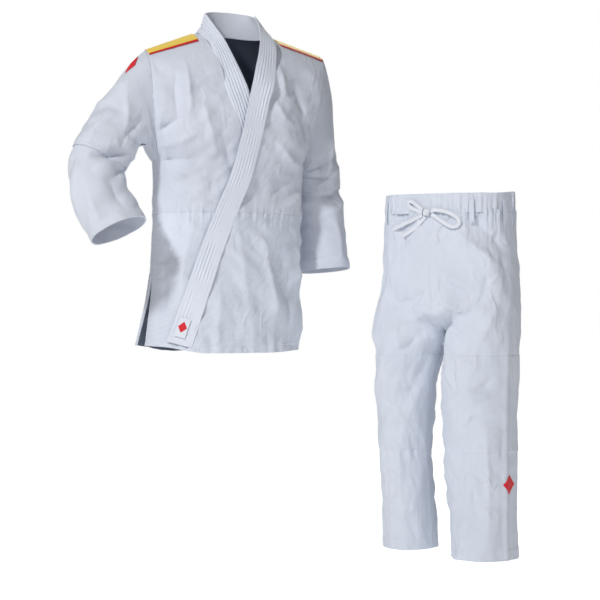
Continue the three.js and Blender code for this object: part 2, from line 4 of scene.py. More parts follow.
import bmesh
import bpy
import numpy as np
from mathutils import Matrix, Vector


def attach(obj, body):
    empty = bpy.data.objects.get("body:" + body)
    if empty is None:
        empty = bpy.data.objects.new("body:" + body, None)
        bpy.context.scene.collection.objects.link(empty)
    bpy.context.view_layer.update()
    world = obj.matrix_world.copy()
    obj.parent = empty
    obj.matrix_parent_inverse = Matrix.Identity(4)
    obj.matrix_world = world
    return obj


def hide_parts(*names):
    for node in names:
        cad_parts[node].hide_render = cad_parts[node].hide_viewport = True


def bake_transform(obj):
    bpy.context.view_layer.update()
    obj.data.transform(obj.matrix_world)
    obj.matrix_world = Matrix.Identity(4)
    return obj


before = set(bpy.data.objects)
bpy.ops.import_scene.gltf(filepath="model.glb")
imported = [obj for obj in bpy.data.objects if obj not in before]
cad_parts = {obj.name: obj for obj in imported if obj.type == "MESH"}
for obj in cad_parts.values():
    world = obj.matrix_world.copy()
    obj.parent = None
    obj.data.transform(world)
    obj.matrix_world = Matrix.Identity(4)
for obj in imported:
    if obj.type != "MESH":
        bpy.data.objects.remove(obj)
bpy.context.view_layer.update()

MM = 0.001

# ---- Sizes, in millimetres: the same ones that the frame is drawn from ----
JACKET_TURN = math.radians(25)
JACKET_SHIFT = -10
TROUSER_TURN = math.radians(-28)
TROUSER_X = 514
JACKET_CLOTH = 2.4
TROUSER_CLOTH = 1.6
LAPEL_WIDTH = 46
LAPEL_THICKNESS = 5
WRAP_LIFT = 8
HEM_Z, VENT_Z, WAIST_Z, ARMPIT_Z, CAP_Z = -752, -547, -422, -300, -120
NECK_HALF_WIDTH = 90
NECK_DEPTH = 43
TROUSER_TOP_Z, BAND_HEIGHT, BAND_BACK_RISE = -376, 44, 9
BAND_LOW_Z = TROUSER_TOP_Z - BAND_HEIGHT
RISE_START_Z, FORK_START_Z, CROTCH_Z = -560, -660, -718
KNEE_PATCH_Z = (-985, -758)
HEM_OF = {"right": -1225, "left": -1240}
SLIT_LOW_Z = -486
HEM_FOLD = 24
ROUND, SEAT_ROUND = 0.9, 0.85  # powers that square the ovals of the chest and of the seat
SEAM_EDGE = 0.9995  # how near to a side seam a sheet ends, as a share of its way there


# ---- Curves ----
def lerp(a, b, t):
    """The value the share t of the way from a to b."""
    return a + (b - a) * t


def smoothstep(x, low, high):
    """The S-shaped step 3t^2 - 2t^3 of the share t of the way from low to high."""
    t = np.clip((x - low) / (high - low), 0, 1)
    return t * t * (3 - 2 * t)


def bump(x, middle, width):
    """A Gaussian bell of height 1: e to the minus square of the distance over the width."""
    return np.exp(-(((x - middle) / width) ** 2))


def curve(*knots):
    """A smooth curve through (position, value) knots: Hermite cubics whose slope at a knot is the mean one
    there."""
    at, value = np.array(knots, float).T
    rise = np.diff(value) / np.diff(at)
    mean_rise = (value[2:] - value[:-2]) / (at[2:] - at[:-2])
    slope = np.concatenate([rise[:1], mean_rise, rise[-1:]])

    def evaluate(x):
        x = np.clip(x, at[0], at[-1])
        i = np.clip(np.searchsorted(at, x, side="right") - 1, 0, len(at) - 2)
        step = at[i + 1] - at[i]
        t = (x - at[i]) / step
        a, b, p, q = value[i], value[i + 1], slope[i] * step, slope[i + 1] * step
        return a + t * (p + t * (3 * (b - a) - 2 * p - q + t * (2 * (a - b) + p + q)))

    return evaluate


def columns(*rows):
    """One curve for each column after the first, which is the position."""
    return [curve(*[(row[0], row[k]) for row in rows]) for k in range(1, len(rows[0]))]


def path_through(points):
    """A smooth curve in space through points: each coordinate is a curve of the share of the chord
    length."""
    points = np.array(points, float)
    along = np.concatenate([[0], np.cumsum(np.linalg.norm(np.diff(points, axis=0), axis=1) ** 0.5)])
    parts = [curve(*zip(along / along[-1], points[:, k])) for k in range(3)]
    return lambda t: np.stack([part(t) for part in parts], axis=-1)


def lines_between(start, end, pitch, fine_at=(), fine=0.8, reach=3.2):
    """Grid lines from start to end about pitch apart, with closer ones within reach of each stitched
    seam."""
    low, high = min(start, end), max(start, end)
    lines = list(np.linspace(low, high, max(2, int(round((high - low) / pitch)) + 1)))
    for seam in fine_at:
        lines = [x for x in lines if abs(x - seam) > reach + 0.3 * pitch or x in (low, high)]
        lines += [x for x in np.arange(seam - reach, seam + reach + 1e-6, fine) if low < x < high]
    lines = np.array(sorted(set(np.round(lines, 4))))
    keep = np.concatenate([[True], np.diff(lines) > 0.25])
    keep[-1] = True
    return lines[keep] if start < end else lines[keep][::-1]


# ---- Folds ----
CREASE = 0.22  # how rounded the top of a fold is, as a share of its width


def folds(a, b, *strokes):
    """The height of folds at (a, b). A stroke is points, a width and a height: a ridge that falls as e to
    the minus distance from the line through its points, with a rounded top, and dies away towards both
    ends."""
    total = np.zeros_like(a)
    for *points, width, height in strokes:
        points = np.array(points, float)
        lengths = np.linalg.norm(np.diff(points, axis=0), axis=1)
        before = np.concatenate([[0], np.cumsum(lengths)])
        nearest = np.full_like(a, 1e9)
        share = np.zeros_like(a)
        for i, length in enumerate(lengths):
            way = (points[i + 1] - points[i]) / length
            t = np.clip((a - points[i][0]) * way[0] + (b - points[i][1]) * way[1], 0, length)
            distance = np.hypot(a - points[i][0] - t * way[0], b - points[i][1] - t * way[1])
            closer = distance < nearest
            nearest = np.where(closer, distance, nearest)
            share = np.where(closer, (before[i] + t) / before[-1], share)
        ridge = np.exp(CREASE - np.sqrt((1.3 * nearest / width) ** 2 + CREASE ** 2))
        total += height * ridge * np.sin(np.pi * np.clip(share, 0.02, 0.98)) ** 0.7
    return total


def crumple(a, b, size, height, seed, slant=0.0, spread=1.6, waves=16):
    """Soft random unevenness: a sum of cosine waves whose lengths lie about size, running within spread of
    slant."""
    rng = np.random.default_rng(seed)
    total = np.zeros_like(a)
    warp_a = a + 0.35 * size * np.sin(b / (0.9 * size) + seed)
    warp_b = b + 0.35 * size * np.sin(a / (1.1 * size) + 2 * seed)
    for _ in range(waves):
        angle = slant + spread * rng.uniform(-1, 1)
        turns = 2 * np.pi / (size * rng.uniform(0.7, 1.8))
        total += np.cos(turns * (warp_a * np.cos(angle) + warp_b * np.sin(angle)) + rng.uniform(0, 2 * np.pi))
    return height * total / math.sqrt(waves / 2)


def puckers(along, across, seam, pitch, height, reach, seed):
    """The small gathers that a stitched seam draws up: waves along the seam that die away from it."""
    rng = np.random.default_rng(seed)
    waves = sum(np.sin(2 * np.pi * along / (pitch * f) + rng.uniform(0, 6.3)) for f in (0.62, 1.0, 1.7))
    return height * waves / 1.7 * np.exp(-np.abs(across - seam) / reach)


def stitched(across, *seams, depth=0.55, width=1.1):
    """The groove that a row of stitches pulls into the cloth."""
    return -depth * sum(bump(across, seam, width) for seam in seams)


# ---- Meshes ----
GARMENTS = {"jacket": (JACKET_TURN, JACKET_SHIFT), "trousers": (TROUSER_TURN, TROUSER_X)}


def placed(points, garment):
    """Points of a garment's own frame, in millimetres, turned about Z and moved to the frame's, in
    metres."""
    turn, shift = GARMENTS[garment]
    x, y, z = np.moveaxis(points, -1, 0)
    c, s = math.cos(turn), math.sin(turn)
    return np.stack([x * c - y * s + shift, x * s + y * c, z], axis=-1) * MM


def normals_of(grid):
    """Unit normals of a grid of points, from the cross product of its two central differences."""
    normal = np.cross(np.gradient(grid, axis=1), np.gradient(grid, axis=0))
    return normal / np.maximum(np.linalg.norm(normal, axis=-1, keepdims=True), 1e-9)


CRISP_FROM = math.radians(60)  # an edge that turns more than this stays crisp


def mesh_piece(name, vertices, faces, uv, materials):
    """An object with one smooth mesh whose faces all turn outward. The materials are one, or a first, a
    second and the height in metres below which faces take the second."""
    mesh = bpy.data.meshes.new(name)
    mesh.from_pydata(vertices.tolist(), [], faces.tolist())
    shape = bmesh.new()
    shape.from_mesh(mesh)
    bmesh.ops.recalc_face_normals(shape, faces=shape.faces)
    shape.to_mesh(mesh)
    shape.free()
    corner = np.empty(len(mesh.loops), np.int32)
    mesh.loops.foreach_get("vertex_index", corner)
    mesh.uv_layers.new(name="cloth").data.foreach_set("uv", uv[corner].astype(np.float32).ravel())
    mesh.polygons.foreach_set("use_smooth", np.ones(len(mesh.polygons), bool))
    mesh.set_sharp_from_angle(angle=CRISP_FROM)
    if isinstance(materials, tuple):
        first, second, height = materials
        mesh.materials.append(first)
        mesh.materials.append(second)
        middle = np.empty(3 * len(mesh.polygons), np.float32)
        mesh.polygons.foreach_get("center", middle)
        mesh.polygons.foreach_set("material_index", (middle[2::3] < height).astype(np.int32))
    else:
        mesh.materials.append(materials)
    mesh.update()
    obj = bpy.data.objects.new(name, mesh)
    bpy.context.scene.collection.objects.link(obj)
    return obj


def shell_faces(rows, cols, mask):
    """Quads of a closed sheet: the outer side, the inner side, and a rim wherever a cell has no
    neighbour."""
    index = np.arange(2 * rows * cols).reshape(2, rows, cols)
    there = np.ones((rows - 1, cols - 1), bool) if mask is None else mask
    quads = [np.stack([k[:-1, :-1], k[:-1, 1:], k[1:, 1:], k[1:, :-1]], -1)[there] for k in index]
    up, side = np.pad(there, ((1, 1), (0, 0))), np.pad(there, ((0, 0), (1, 1)))
    for low, high, rim in ((index[:, :, :-1], index[:, :, 1:], up[1:] ^ up[:-1]),
                           (index[:, :-1], index[:, 1:], side[:, 1:] ^ side[:, :-1])):
        quads.append(np.stack([low[0], high[0], high[1], low[1]], -1)[rim])
    return np.concatenate(quads)


def cloth(name, garment, surface, us, vs, thickness, materials, outward=1,
          sway=None, raised=None, mask=None, base=0.0, inside=None, nodes=(), body=None):
    """A closed sheet on a surface of (u, v): sway moves the whole cloth along its normal, raised only its
    outside. Its flat width and length, laid out as its UV, are the sums of its grid's own steps."""
    u, v = np.meshgrid(us, vs)
    grid = surface(u, v)
    push = np.zeros_like(u) + base
    if sway:
        push = push + sway(u, v, grid)
    grid = grid + outward * normals_of(grid) * push[..., None]
    normal = outward * normals_of(grid)
    extra = raised(u, v, grid)[..., None] if raised else 0.0
    outer, inner = grid + normal * extra, grid - normal * thickness
    step_u = np.linalg.norm(np.diff(grid, axis=1, prepend=grid[:, :1]), axis=-1)
    step_v = np.linalg.norm(np.diff(grid, axis=0, prepend=grid[:1]), axis=-1)
    middle = len(us) // 2
    along_u, along_v = np.cumsum(step_u, 1), np.cumsum(step_v, 0)
    uv = np.stack([along_u - along_u[:, middle:middle + 1], along_v], -1) * MM
    there = None if mask is None else mask(*np.meshgrid((us[1:] + us[:-1]) / 2, (vs[1:] + vs[:-1]) / 2))
    used, faces = np.unique(shell_faces(*u.shape, there), return_inverse=True)
    vertices = np.concatenate([outer.reshape(-1, 3), inner.reshape(-1, 3)])[used]
    both = np.concatenate([uv.reshape(-1, 2)] * 2)[used]
    faces = faces.reshape(-1, 4)
    piece = mesh_piece(name, placed(vertices, garment), faces, both, materials)
    if inside:
        piece.data.materials.append(inside)
        slots = np.empty(len(faces), np.int32)
        piece.data.polygons.foreach_get("material_index", slots)
        slots[(used[faces] >= u.size).all(1)] = len(piece.data.materials) - 1
        piece.data.polygons.foreach_set("material_index", slots)
    return stand_in(piece, nodes, body)


def stand_in(piece, nodes, body=None):
    """The piece takes the place of the frame's nodes, which it hides, and rides on the body if
    any."""
    if nodes:
        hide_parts(*nodes)
    if body:
        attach(piece, body)
    return piece


# ---- Materials ----
def linear(hex_colour):
    """A linear RGBA colour from an sRGB hex value."""
    parts = [int(hex_colour[i:i + 2], 16) / 255 for i in (0, 2, 4)]
    return [c / 12.92 if c <= 0.04045 else ((c + 0.055) / 1.055) ** 2.4 for c in parts] + [1.0]


def add(tree, kind, inputs=None, **settings):
    """Adds a shader node with its settings; inputs gives each socket a value, or the node or socket that
    feeds it."""
    made = tree.nodes.new("ShaderNode" + kind)
    for key, value in settings.items():
        setattr(made, key, value)
    for key, value in (inputs or {}).items():
        if isinstance(value, bpy.types.Node):
            value = value.outputs[0]
        if isinstance(value, bpy.types.NodeSocket):
            tree.links.new(value, made.inputs[key])
        else:
            made.inputs[key].default_value = value
    return made


def threads(tree, uv, pitch_mm, slant_deg, sharpness):
    """Two crossing sets of threads: the product of two sine waves of the cloth's own metres, slanted as
    asked."""
    turned = add(tree, "Mapping", {"Vector": uv, "Rotation": (0, 0, math.radians(slant_deg)),
                                   "Scale": (1000 / pitch_mm, 1000 / pitch_mm, 1)})
    parts = add(tree, "SeparateXYZ", {0: turned})
    waves = []
    for axis in (0, 1):
        angle = add(tree, "Math", {0: parts.outputs[axis], 1: 2 * math.pi}, operation="MULTIPLY")
        waves.append(add(tree, "Math", {0: angle}, operation="SINE"))
    crossed = add(tree, "Math", {0: waves[0], 1: waves[1]}, operation="MULTIPLY")
    return add(tree, "Math", {0: crossed, 1: sharpness, 2: 0.5}, operation="MULTIPLY_ADD", use_clamp=True)


def cotton(name, light, shade, pitch_mm, slant_deg, sharpness, depth_mm, roughness, sheen,
           crease_mm=0.0):
    """A woven cotton: the threads dent it, and their hollows are tinted darker as painted shade; broad uneven
    washing tints it at random. Thin creases run where a stretched noise crosses its middle value, and a
    second noise lets them come and go."""
    material = bpy.data.materials.new(name)
    material.use_nodes = True
    tree = material.node_tree
    shader = tree.nodes["Principled BSDF"]
    uv = add(tree, "UVMap", uv_map="cloth")
    place = add(tree, "TexCoord").outputs["Object"]
    weave = threads(tree, uv, pitch_mm, slant_deg, sharpness)
    # The wash has patches some 110 mm wide, the slubs are 2.4 mm long and the creases run some 50 mm apart.
    wash = add(tree, "TexNoise", {"Vector": place, "Scale": 9.0, "Detail": 3.0, "Roughness": 0.55})
    slub = add(tree, "TexNoise", {"Vector": uv, "Scale": 420.0, "Detail": 3.0, "Roughness": 0.6})
    # Painted shade: the weave's hollows come out darker in the colour, while the wash and the slubs add
    # random tone.
    tint = add(tree, "Math", {0: wash, 1: 0.55, 2: weave}, operation="MULTIPLY_ADD")
    tint = add(tree, "Math", {0: slub, 1: 0.5, 2: tint}, operation="MULTIPLY_ADD")
    colour = add(tree, "ValToRGB", {0: tint})
    colour.color_ramp.elements[0].position = 0.35
    colour.color_ramp.elements[0].color = linear(shade)
    colour.color_ramp.elements[1].color = linear(light)
    height = add(tree, "Math", {0: slub, 1: 0.6, 2: weave}, operation="MULTIPLY_ADD")
    long_way = add(tree, "Mapping", {"Vector": uv, "Rotation": (0, 0, 0.5), "Scale": (1.0, 0.45, 1)})
    wander = add(tree, "TexNoise", {"Vector": long_way, "Scale": 19.0, "Detail": 1.5})
    off = add(tree, "Math", {0: wander, 1: 0.5}, operation="SUBTRACT")
    off = add(tree, "Math", {0: off}, operation="ABSOLUTE")
    groove = add(tree, "MapRange", {"Value": off, "From Max": 0.06, "To Min": 1.0, "To Max": 0.0},
                 interpolation_type="SMOOTHSTEP")
    where = add(tree, "MapRange", {"Value": wash, "From Min": 0.45, "From Max": 0.62})
    crease = add(tree, "Math", {0: groove, 1: where}, operation="MULTIPLY")
    creased = add(tree, "Bump", {"Strength": 0.8, "Distance": crease_mm * MM, "Height": crease})
    dent = add(tree, "Bump", {"Strength": 0.7, "Distance": depth_mm * MM, "Height": height,
                              "Normal": creased})
    tree.links.new(colour.outputs[0], shader.inputs["Base Color"])
    tree.links.new(dent.outputs[0], shader.inputs["Normal"])
    shader.inputs["Roughness"].default_value = roughness
    shader.inputs["Sheen Weight"].default_value = sheen
    shader.inputs["Sheen Roughness"].default_value = 0.48
    shader.inputs["Specular IOR Level"].default_value = 0.25
    return material


# Bleached cotton in a rice-grain weave: small plump grains that give the chest a pebbled, matt face.
RICE_WEAVE = cotton("bleached_cotton_rice_weave", "E6EBF6", "BAC3D3",
                    3.2, 45, 0.9, 0.7, 0.92, 0.25, 1.4)
# Bleached cotton in a diamond weave: flatter than the chest, with a faint net of slanting lines.
DIAMOND_WEAVE = cotton("bleached_cotton_diamond_weave", "E3E9F4", "BAC4D4",
                       4.2, 45, 0.7, 0.5, 0.9, 0.25, 1.6)
# Painted shade inside the back: a dark, plain, matt grey-blue on the back's inner faces, so that the neck and
# the vents look deep.
PAINTED_SHADE_INSIDE_BACK = cotton("painted_shade_inside_back", "5F6879", "4A5364", 1.6, 0, 0.5, 0.12, 0.95, 0.1)
# Bleached cotton twill of the lapel: close and smooth, so that the stitched channels show.
LAPEL_TWILL = cotton("bleached_cotton_twill", "E9EEF9", "C4CDDE",
                     1.6, 30, 0.6, 0.25, 0.86, 0.3)
# Washed cotton drill of the trousers: thinner and smoother, with a fine slanting rib.
DRILL = cotton("washed_cotton_drill", "E5EBF6", "BEC7D8", 1.5, 28, 0.6, 0.3, 0.85, 0.3, 2.4)
# Woven cotton tape: cross ribs, a little whiter than the cloth.
COTTON_TAPE = cotton("woven_cotton_tape", "ECEFF6", "CDD2DD", 1.3, 0, 0.6, 0.2, 0.8, 0.3)
# Satin-woven polyester tape in yellow and in red: smooth, with a soft gloss along the thread.
YELLOW_TAPE = cotton("satin_tape_yellow", "FFE064", "F7CE44", 1.0, 0, 0.4, 0.08, 0.45, 0.1)
RED_TAPE = cotton("satin_tape_red", "E02630", "B8141E", 1.0, 0, 0.4, 0.08, 0.45, 0.1)
# Rayon embroidery thread laid in close satin stitch: raised rows with a soft gloss.
RED_STITCHING = cotton("rayon_satin_stitch_red", "F0303A", "C4141E",
                       1.1, 90, 0.9, 0.25, 0.5, 0.1)
# Woven label of fine polyester: smooth and pale.
LABEL = cotton("woven_polyester_label", "E9EDF5", "D3D9E4", 0.8, 0, 0.4, 0.06, 0.6, 0.1)
# Pale matt floor.
FLOOR = cotton("matt_pale_floor", "F7F7F8", "F1F1F3", 60, 0, 0.1, 0.01, 0.95, 0.0)


# ---- Jacket surfaces ----
right_half = curve((-752, 208), (-600, 192), (-422, 184), (-300, 187), (-260, 200), (-216, 212), (-120, 222),
                   (0, 224))
left_half = curve((-752, 180), (-600, 182), (-422, 184), (-300, 187), (-223, 196), (-120, 220), (0, 240))
depth_of = {
    "front": curve((-752, 122), (-600, 116), (-422, 110), (-300, 118), (-200, 120), (-120, 112)),
    "back": curve((-752, 122), (-600, 118), (-422, 108), (-300, 118), (-200, 118), (-120, 106)),
}
middle_y = curve((-752, 38), (-422, 34), (-288, 26), (-120, 8), (0, 0))
ridge_z = curve((-243, -50), (-160, -18), (-90, 8), (0, 34), (90, 8), (160, -12), (243, -36))
outer_seam = curve((-752, -140), (-664, -112), (-506, -60), (-330, 6), (-161, 42), (-53, 78), (0, 90))
inner_seam = curve((-752, 108), (-600, 84), (-420, 42), (-300, 5), (-178, -34), (-60, -80), (0, -92))
ARMHOLE_Z, ARMHOLE_HALF_HEIGHT, ARMHOLE_HALF_DEPTH = -170, 126, 62


def armhole_depth(height):
    """How far the armhole's edge stands in front of or behind the middle: half an oval's chord at that
    height."""
    return ARMHOLE_HALF_DEPTH * np.sqrt(np.maximum(0, 1 - ((height - ARMHOLE_Z) / ARMHOLE_HALF_HEIGHT) ** 2))


def body(side, turned, height):
    """The jacket's body. turned runs -1, 0, 1 from the right side seam over the middle to the left one,
    along a squared oval in plan; above CAP_Z the depth closes as a cosine while the height rises to the
    shoulder ridge."""
    level = np.minimum(height, CAP_Z)
    rise = np.clip((height - CAP_Z) / -CAP_Z, 0, 1) * np.pi / 2
    angle = np.clip(np.abs(turned), 0, 1) * np.pi / 2
    half = np.where(turned < 0, right_half(height), left_half(height))
    x = np.sign(turned) * half * np.sin(angle) ** ROUND
    edge = armhole_depth(level)
    flatness = lerp(ROUND, 1.5, np.clip((level - ARMPIT_Z) / 150, 0, 1))
    bulge = np.maximum(0, np.cos(angle)) ** flatness
    depth = (edge + (depth_of[side](level) - edge) * bulge) * np.maximum(0, np.cos(rise)) ** 1.3
    y = middle_y(height) + (-depth if side == "front" else depth)
    z = np.where(height <= CAP_Z, height, CAP_Z + (ridge_z(x) - CAP_Z) * np.sin(rise))
    return np.stack([x, y, z], -1)


def turned_of(x, height):
    """Where on the oval the half width's share is x: the inverse of body's x."""
    half = np.where(x < 0, right_half(height), left_half(height))
    return np.sign(x) * np.arcsin(np.clip(np.abs(x) / half, 0, 1) ** (1 / ROUND)) * 2 / np.pi


def front_at(x, height):
    """The point of the front straight ahead of x at a height."""
    x, height = np.asarray(x, float), np.asarray(height, float)
    return body("front", turned_of(x, height), height)


def neck_dip(x):
    """The back neckline: half an oval hanging from the ridge."""
    return NECK_DEPTH * np.sqrt(np.maximum(0, 1 - (x / NECK_HALF_WIDTH) ** 2))


def wrap_lift(turned, height):
    """The outer front rides over the inner one and comes down at the side seam and above where they
    cross."""
    return WRAP_LIFT * smoothstep(1 - turned, 0.02, 0.5) * smoothstep(-height, 100, 210)


HEM_RISE = 16


def hem_line(point):
    """The hem climbs towards the right side seam, as the cloth there is drawn up by the hanging sleeve."""
    low = smoothstep(-point[..., 2], 560, 752)
    point[..., 2] += HEM_RISE * low * smoothstep(-point[..., 0], 90, 205)
    point[..., 2] += 0.3 * HEM_RISE * low * smoothstep(point[..., 0], 60, 180)
    return point


def front_panel(start, end):
    """A front between two edges: u is the share of the way from the edge at x = start to the one at x =
    end."""
    def surface(u, height):
        return hem_line(body("front", lerp(start(height), end(height), u), height))
    return surface


TAIL_FLARE_MIDDLE, TAIL_FLARE_SIDE = 14, 44
TAIL_SPREAD = 5  # how far the right edge of the tail stands out sideways


def back_surface(turned, v):
    """The back from hem to shoulder: near the top v is shared out down to the dip of the neckline, and
    below the vents the tail stands away, more at its edges, as a power of the share of the way down."""
    x = body("back", turned, np.full_like(v, CAP_Z))[..., 0]
    share = np.clip((v - CAP_Z) / -CAP_Z, 0, 1)
    height = np.where(v <= CAP_Z, v, lerp(CAP_Z, -neck_dip(x), share))
    point = body("back", turned, height)
    down = np.clip((VENT_Z - v) / (VENT_Z - HEM_Z), 0, 1) ** 1.3
    point[..., 1] += lerp(TAIL_FLARE_MIDDLE, TAIL_FLARE_SIDE, turned ** 2) * down
    point[..., 0] -= TAIL_SPREAD * down * smoothstep(-turned, 0.5, 1)
    return hem_line(point)


# ---- Jacket: body ----
CHEST = (RICE_WEAVE, DIAMOND_WEAVE, WAIST_Z * MM)
HEM_STITCHES = (HEM_Z + HEM_FOLD, HEM_Z + HEM_FOLD - 6)
BODY_ROWS = lines_between(HEM_Z, -0.6, 3.9, (WAIST_Z, *HEM_STITCHES))
CHEST_FOLDS = (
    ((-240, -250), (-205, -232), (-165, -205), 11, -7), ((-225, -268), (-170, -262), (-120, -240), 14, 5),
    ((-150, -60), (-146, -120), (-138, -190), 13, 5), ((-172, -95), (-176, -150), (-168, -215), 12, -5),
    ((-112, -170), (-98, -215), (-78, -275), 15, 4), ((-70, -230), (-50, -280), (-30, -330), 14, -3),
    ((-190, -300), (-140, -330), (-80, -352), 13, 4), ((-160, -360), (-90, -392), (-30, -398), 13, 4),
    ((78, -50), (86, -100), (96, -150), 14, 5), ((60, -150), (84, -190), (120, -216), 14, 5),
    ((120, -120), (150, -180), (168, -250), 13, -5), ((70, -250), (110, -290), (170, -310), 15, 4),
    ((150, -290), (120, -340), (60, -385), 14, -4), ((170, -340), (140, -385), (90, -410), 12, 4),
)
SKIRT_FOLDS = (
    ((40, -470), (62, -560), (84, -680), 17, 5), ((95, -500), (110, -600), (120, -735), 18, -5),
    ((140, -450), (150, -560), (160, -690), 15, 5), ((-20, -450), (-6, -560), (10, -700), 20, 4),
    ((-120, -450), (-140, -540), (-150, -680), 18, 5), ((-170, -470), (-176, -560), (-186, -730), 14, -4),
    ((-60, -600), (-70, -680), (-72, -745), 14, 3),
)


def jacket_sway(seed, shares=1.0):
    """How the jacket's cloth lies off its plain shape: named folds, broad unevenness and the gathers at the
    waist."""
    def sway(u, v, grid):
        x, z = grid[..., 0], grid[..., 2]
        half = np.where(x < 0, right_half(z), left_half(z))
        seam = smoothstep(1 - np.abs(x) / half, 0.002, 0.07)
        soft = 1.9 * folds(x, z, *CHEST_FOLDS, *SKIRT_FOLDS) * shares
        soft = soft + crumple(x, z, 120, 2.4, seed, 1.4, 0.9) + crumple(x, z, 45, 1.0, seed + 1, 1.1, 1.4)
        soft = soft + crumple(x, z, 20, 0.3, seed + 4, 1.2, 1.5)
        gathers = puckers(x, z, WAIST_Z - 2, 15, 1.5, 15, seed + 2)
        hem = puckers(x, z, HEM_Z, 46, 2.2, 60, seed + 3)
        top = smoothstep(-z, 45, 120)
        return (soft + gathers + hem) * top * seam
    return sway


def jacket_raised(u, v, grid):
    """The hem's fold is a little thicker than the cloth, and the waist seam and stitch rows sink into
    it."""
    z = grid[..., 2]
    hem = 0.8 * smoothstep(HEM_Z + HEM_FOLD + 2 - z, 0, 2.5)
    grains = crumple(grid[..., 0], z, 9, 0.12, 5)
    return hem + grains + stitched(z, WAIST_Z, depth=1.3, width=2.0) + stitched(z, *HEM_STITCHES)


def over_inner(turned, shape):
    """Adds the lift of the outer front to a sway."""
    return lambda u, v, grid: shape(u, v, grid) + wrap_lift(turned(u, v), v)


# The back's inner faces take the dark grey-blue: painted shade in the neck and the vents.
back = cloth("jacket_back_cloth", "jacket", back_surface, np.linspace(-SEAM_EDGE, SEAM_EDGE, 150), BODY_ROWS,
             JACKET_CLOTH, CHEST, outward=-1, sway=jacket_sway(11, 0.5), raised=jacket_raised, inside=PAINTED_SHADE_INSIDE_BACK,
             nodes=("back_upper", "back_skirt", "back_tail"))

inner_edge = lambda height: turned_of(inner_seam(height) - 2, height)
outer_edge = lambda height: turned_of(outer_seam(height) + 2, height)
right_side = lambda height: np.full_like(height, -SEAM_EDGE)
left_side = lambda height: np.full_like(height, SEAM_EDGE)
FRONT_COLUMNS = np.linspace(0, 1, 110)
right_front = cloth("right_front_cloth", "jacket", front_panel(right_side, inner_edge), FRONT_COLUMNS,
                    BODY_ROWS, JACKET_CLOTH, CHEST, sway=jacket_sway(23), raised=jacket_raised,
                    nodes=("right_front_upper", "right_front_skirt"), body="jacket_body")
left_turned = lambda u, v: lerp(outer_edge(v), SEAM_EDGE, u)
left_front = cloth("left_front_cloth", "jacket", front_panel(outer_edge, left_side), FRONT_COLUMNS,
                   BODY_ROWS, JACKET_CLOTH, CHEST, sway=over_inner(left_turned, jacket_sway(37)),
                   raised=jacket_raised, nodes=("left_side_upper", "left_shoulder_front", "left_side_skirt",
                                                "left_front_upper", "left_front_skirt"))


# ---- Jacket: lapel ----
def chest_station(seam, to_free, height, lift):
    """The sewn and the free edge of the lapel at a height of the chest, square to the line of its seam."""
    slope = (seam(height + 5) - seam(height - 5)) / 10
    length = math.hypot(1, slope)
    free_x = seam(height) + to_free * LAPEL_WIDTH / length
    free_height = height - to_free * slope * LAPEL_WIDTH / length
    return [front_at(seam(height), height) - (0, lift, 0), front_at(free_x, free_height) - (0, lift, 0)]


def neck_station(angle):
    """Round the neck the band stands up from the neckline, with its free edge above and inside it."""
    x = NECK_HALF_WIDTH * math.sin(angle)
    low = body("back", turned_of(np.array(x), -60.0), np.array(-neck_dip(x)))
    free = (62 * math.sin(angle) - 3, 4 + 38 * math.cos(angle), 56 + 12 * math.cos(angle))
    return [low + (0, -3, 4), np.array(free)]


def on_front(x, height, lift):
    """A point off the front by lift, and up by a third of it."""
    return front_at(x, height) + (0, -lift, lift / 3)


def band(stations):
    """A smooth band through stations: u runs from the sewn edge to the free one and v along the lapel."""
    sewn, free = (path_through([station[k] for station in stations]) for k in (0, 1))
    return lambda u, v: sewn(v) + (free(v) - sewn(v)) * u[..., None]


BAND_START = -0.1
CHANNELS = (0.02, 0.18, 0.34, 0.5, 0.66, 0.82, 0.94)


def lapel_raised(u, v, grid):
    """Rows of stitching along the band, and rounded edges."""
    rows = -1.9 * sum(bump(u, at, 0.026) for at in CHANNELS)
    edges = -2.6 * (smoothstep(u, 0.0, BAND_START) + smoothstep(u, 0.95, 1.0))
    ripple = 0.22 * np.sin(2 * np.pi * grid[..., 2] / 7.5) * np.cos(2 * np.pi * u * 6)
    return rows + edges + ripple + crumple(u * LAPEL_WIDTH, grid[..., 2], 60, 0.35, 8)


def lapel_sway(u, v, grid):
    """The lapel's unevenness, which fades in over the first 120 mm below the shoulders."""
    return crumple(grid[..., 0], grid[..., 2], 140, 1.1, 51) * smoothstep(-grid[..., 2], 0, 120)


BAND_COLUMNS = np.unique(np.concatenate(
    [np.linspace(BAND_START, 1, 36), *[np.array([c - 0.02, c, c + 0.02]) for c in CHANNELS]]))
outer_heights = [-738, -664, -590, -506, -420, -330, -245, -161]
outer_stations = [chest_station(outer_seam, -1, h, WRAP_LIFT) for h in outer_heights]
neck_angles = np.linspace(math.pi / 2 - 0.05, -math.pi / 2 + 0.05, 9)
neck_stations = [neck_station(angle) for angle in neck_angles]
beside_neck_left = [[on_front(outer_seam(-66), -66, 9), np.array([27, -99, -36])],
                    [on_front(outer_seam(-24), -24, 6), np.array([46, -56, 12])]]
beside_neck_right = [[on_front(inner_seam(-24), -24, 4), np.array([-59, -38, 22])],
                     [on_front(inner_seam(-66), -66, 4), np.array([-44, -74, -22])]]
inner_heights = [-135, -178, -240, -300, -360, -420, -510, -600, -680, -738]
inner_stations = [chest_station(inner_seam, 1, h, 0) for h in inner_heights]
top_station = chest_station(outer_seam, -1, -118, WRAP_LIFT)

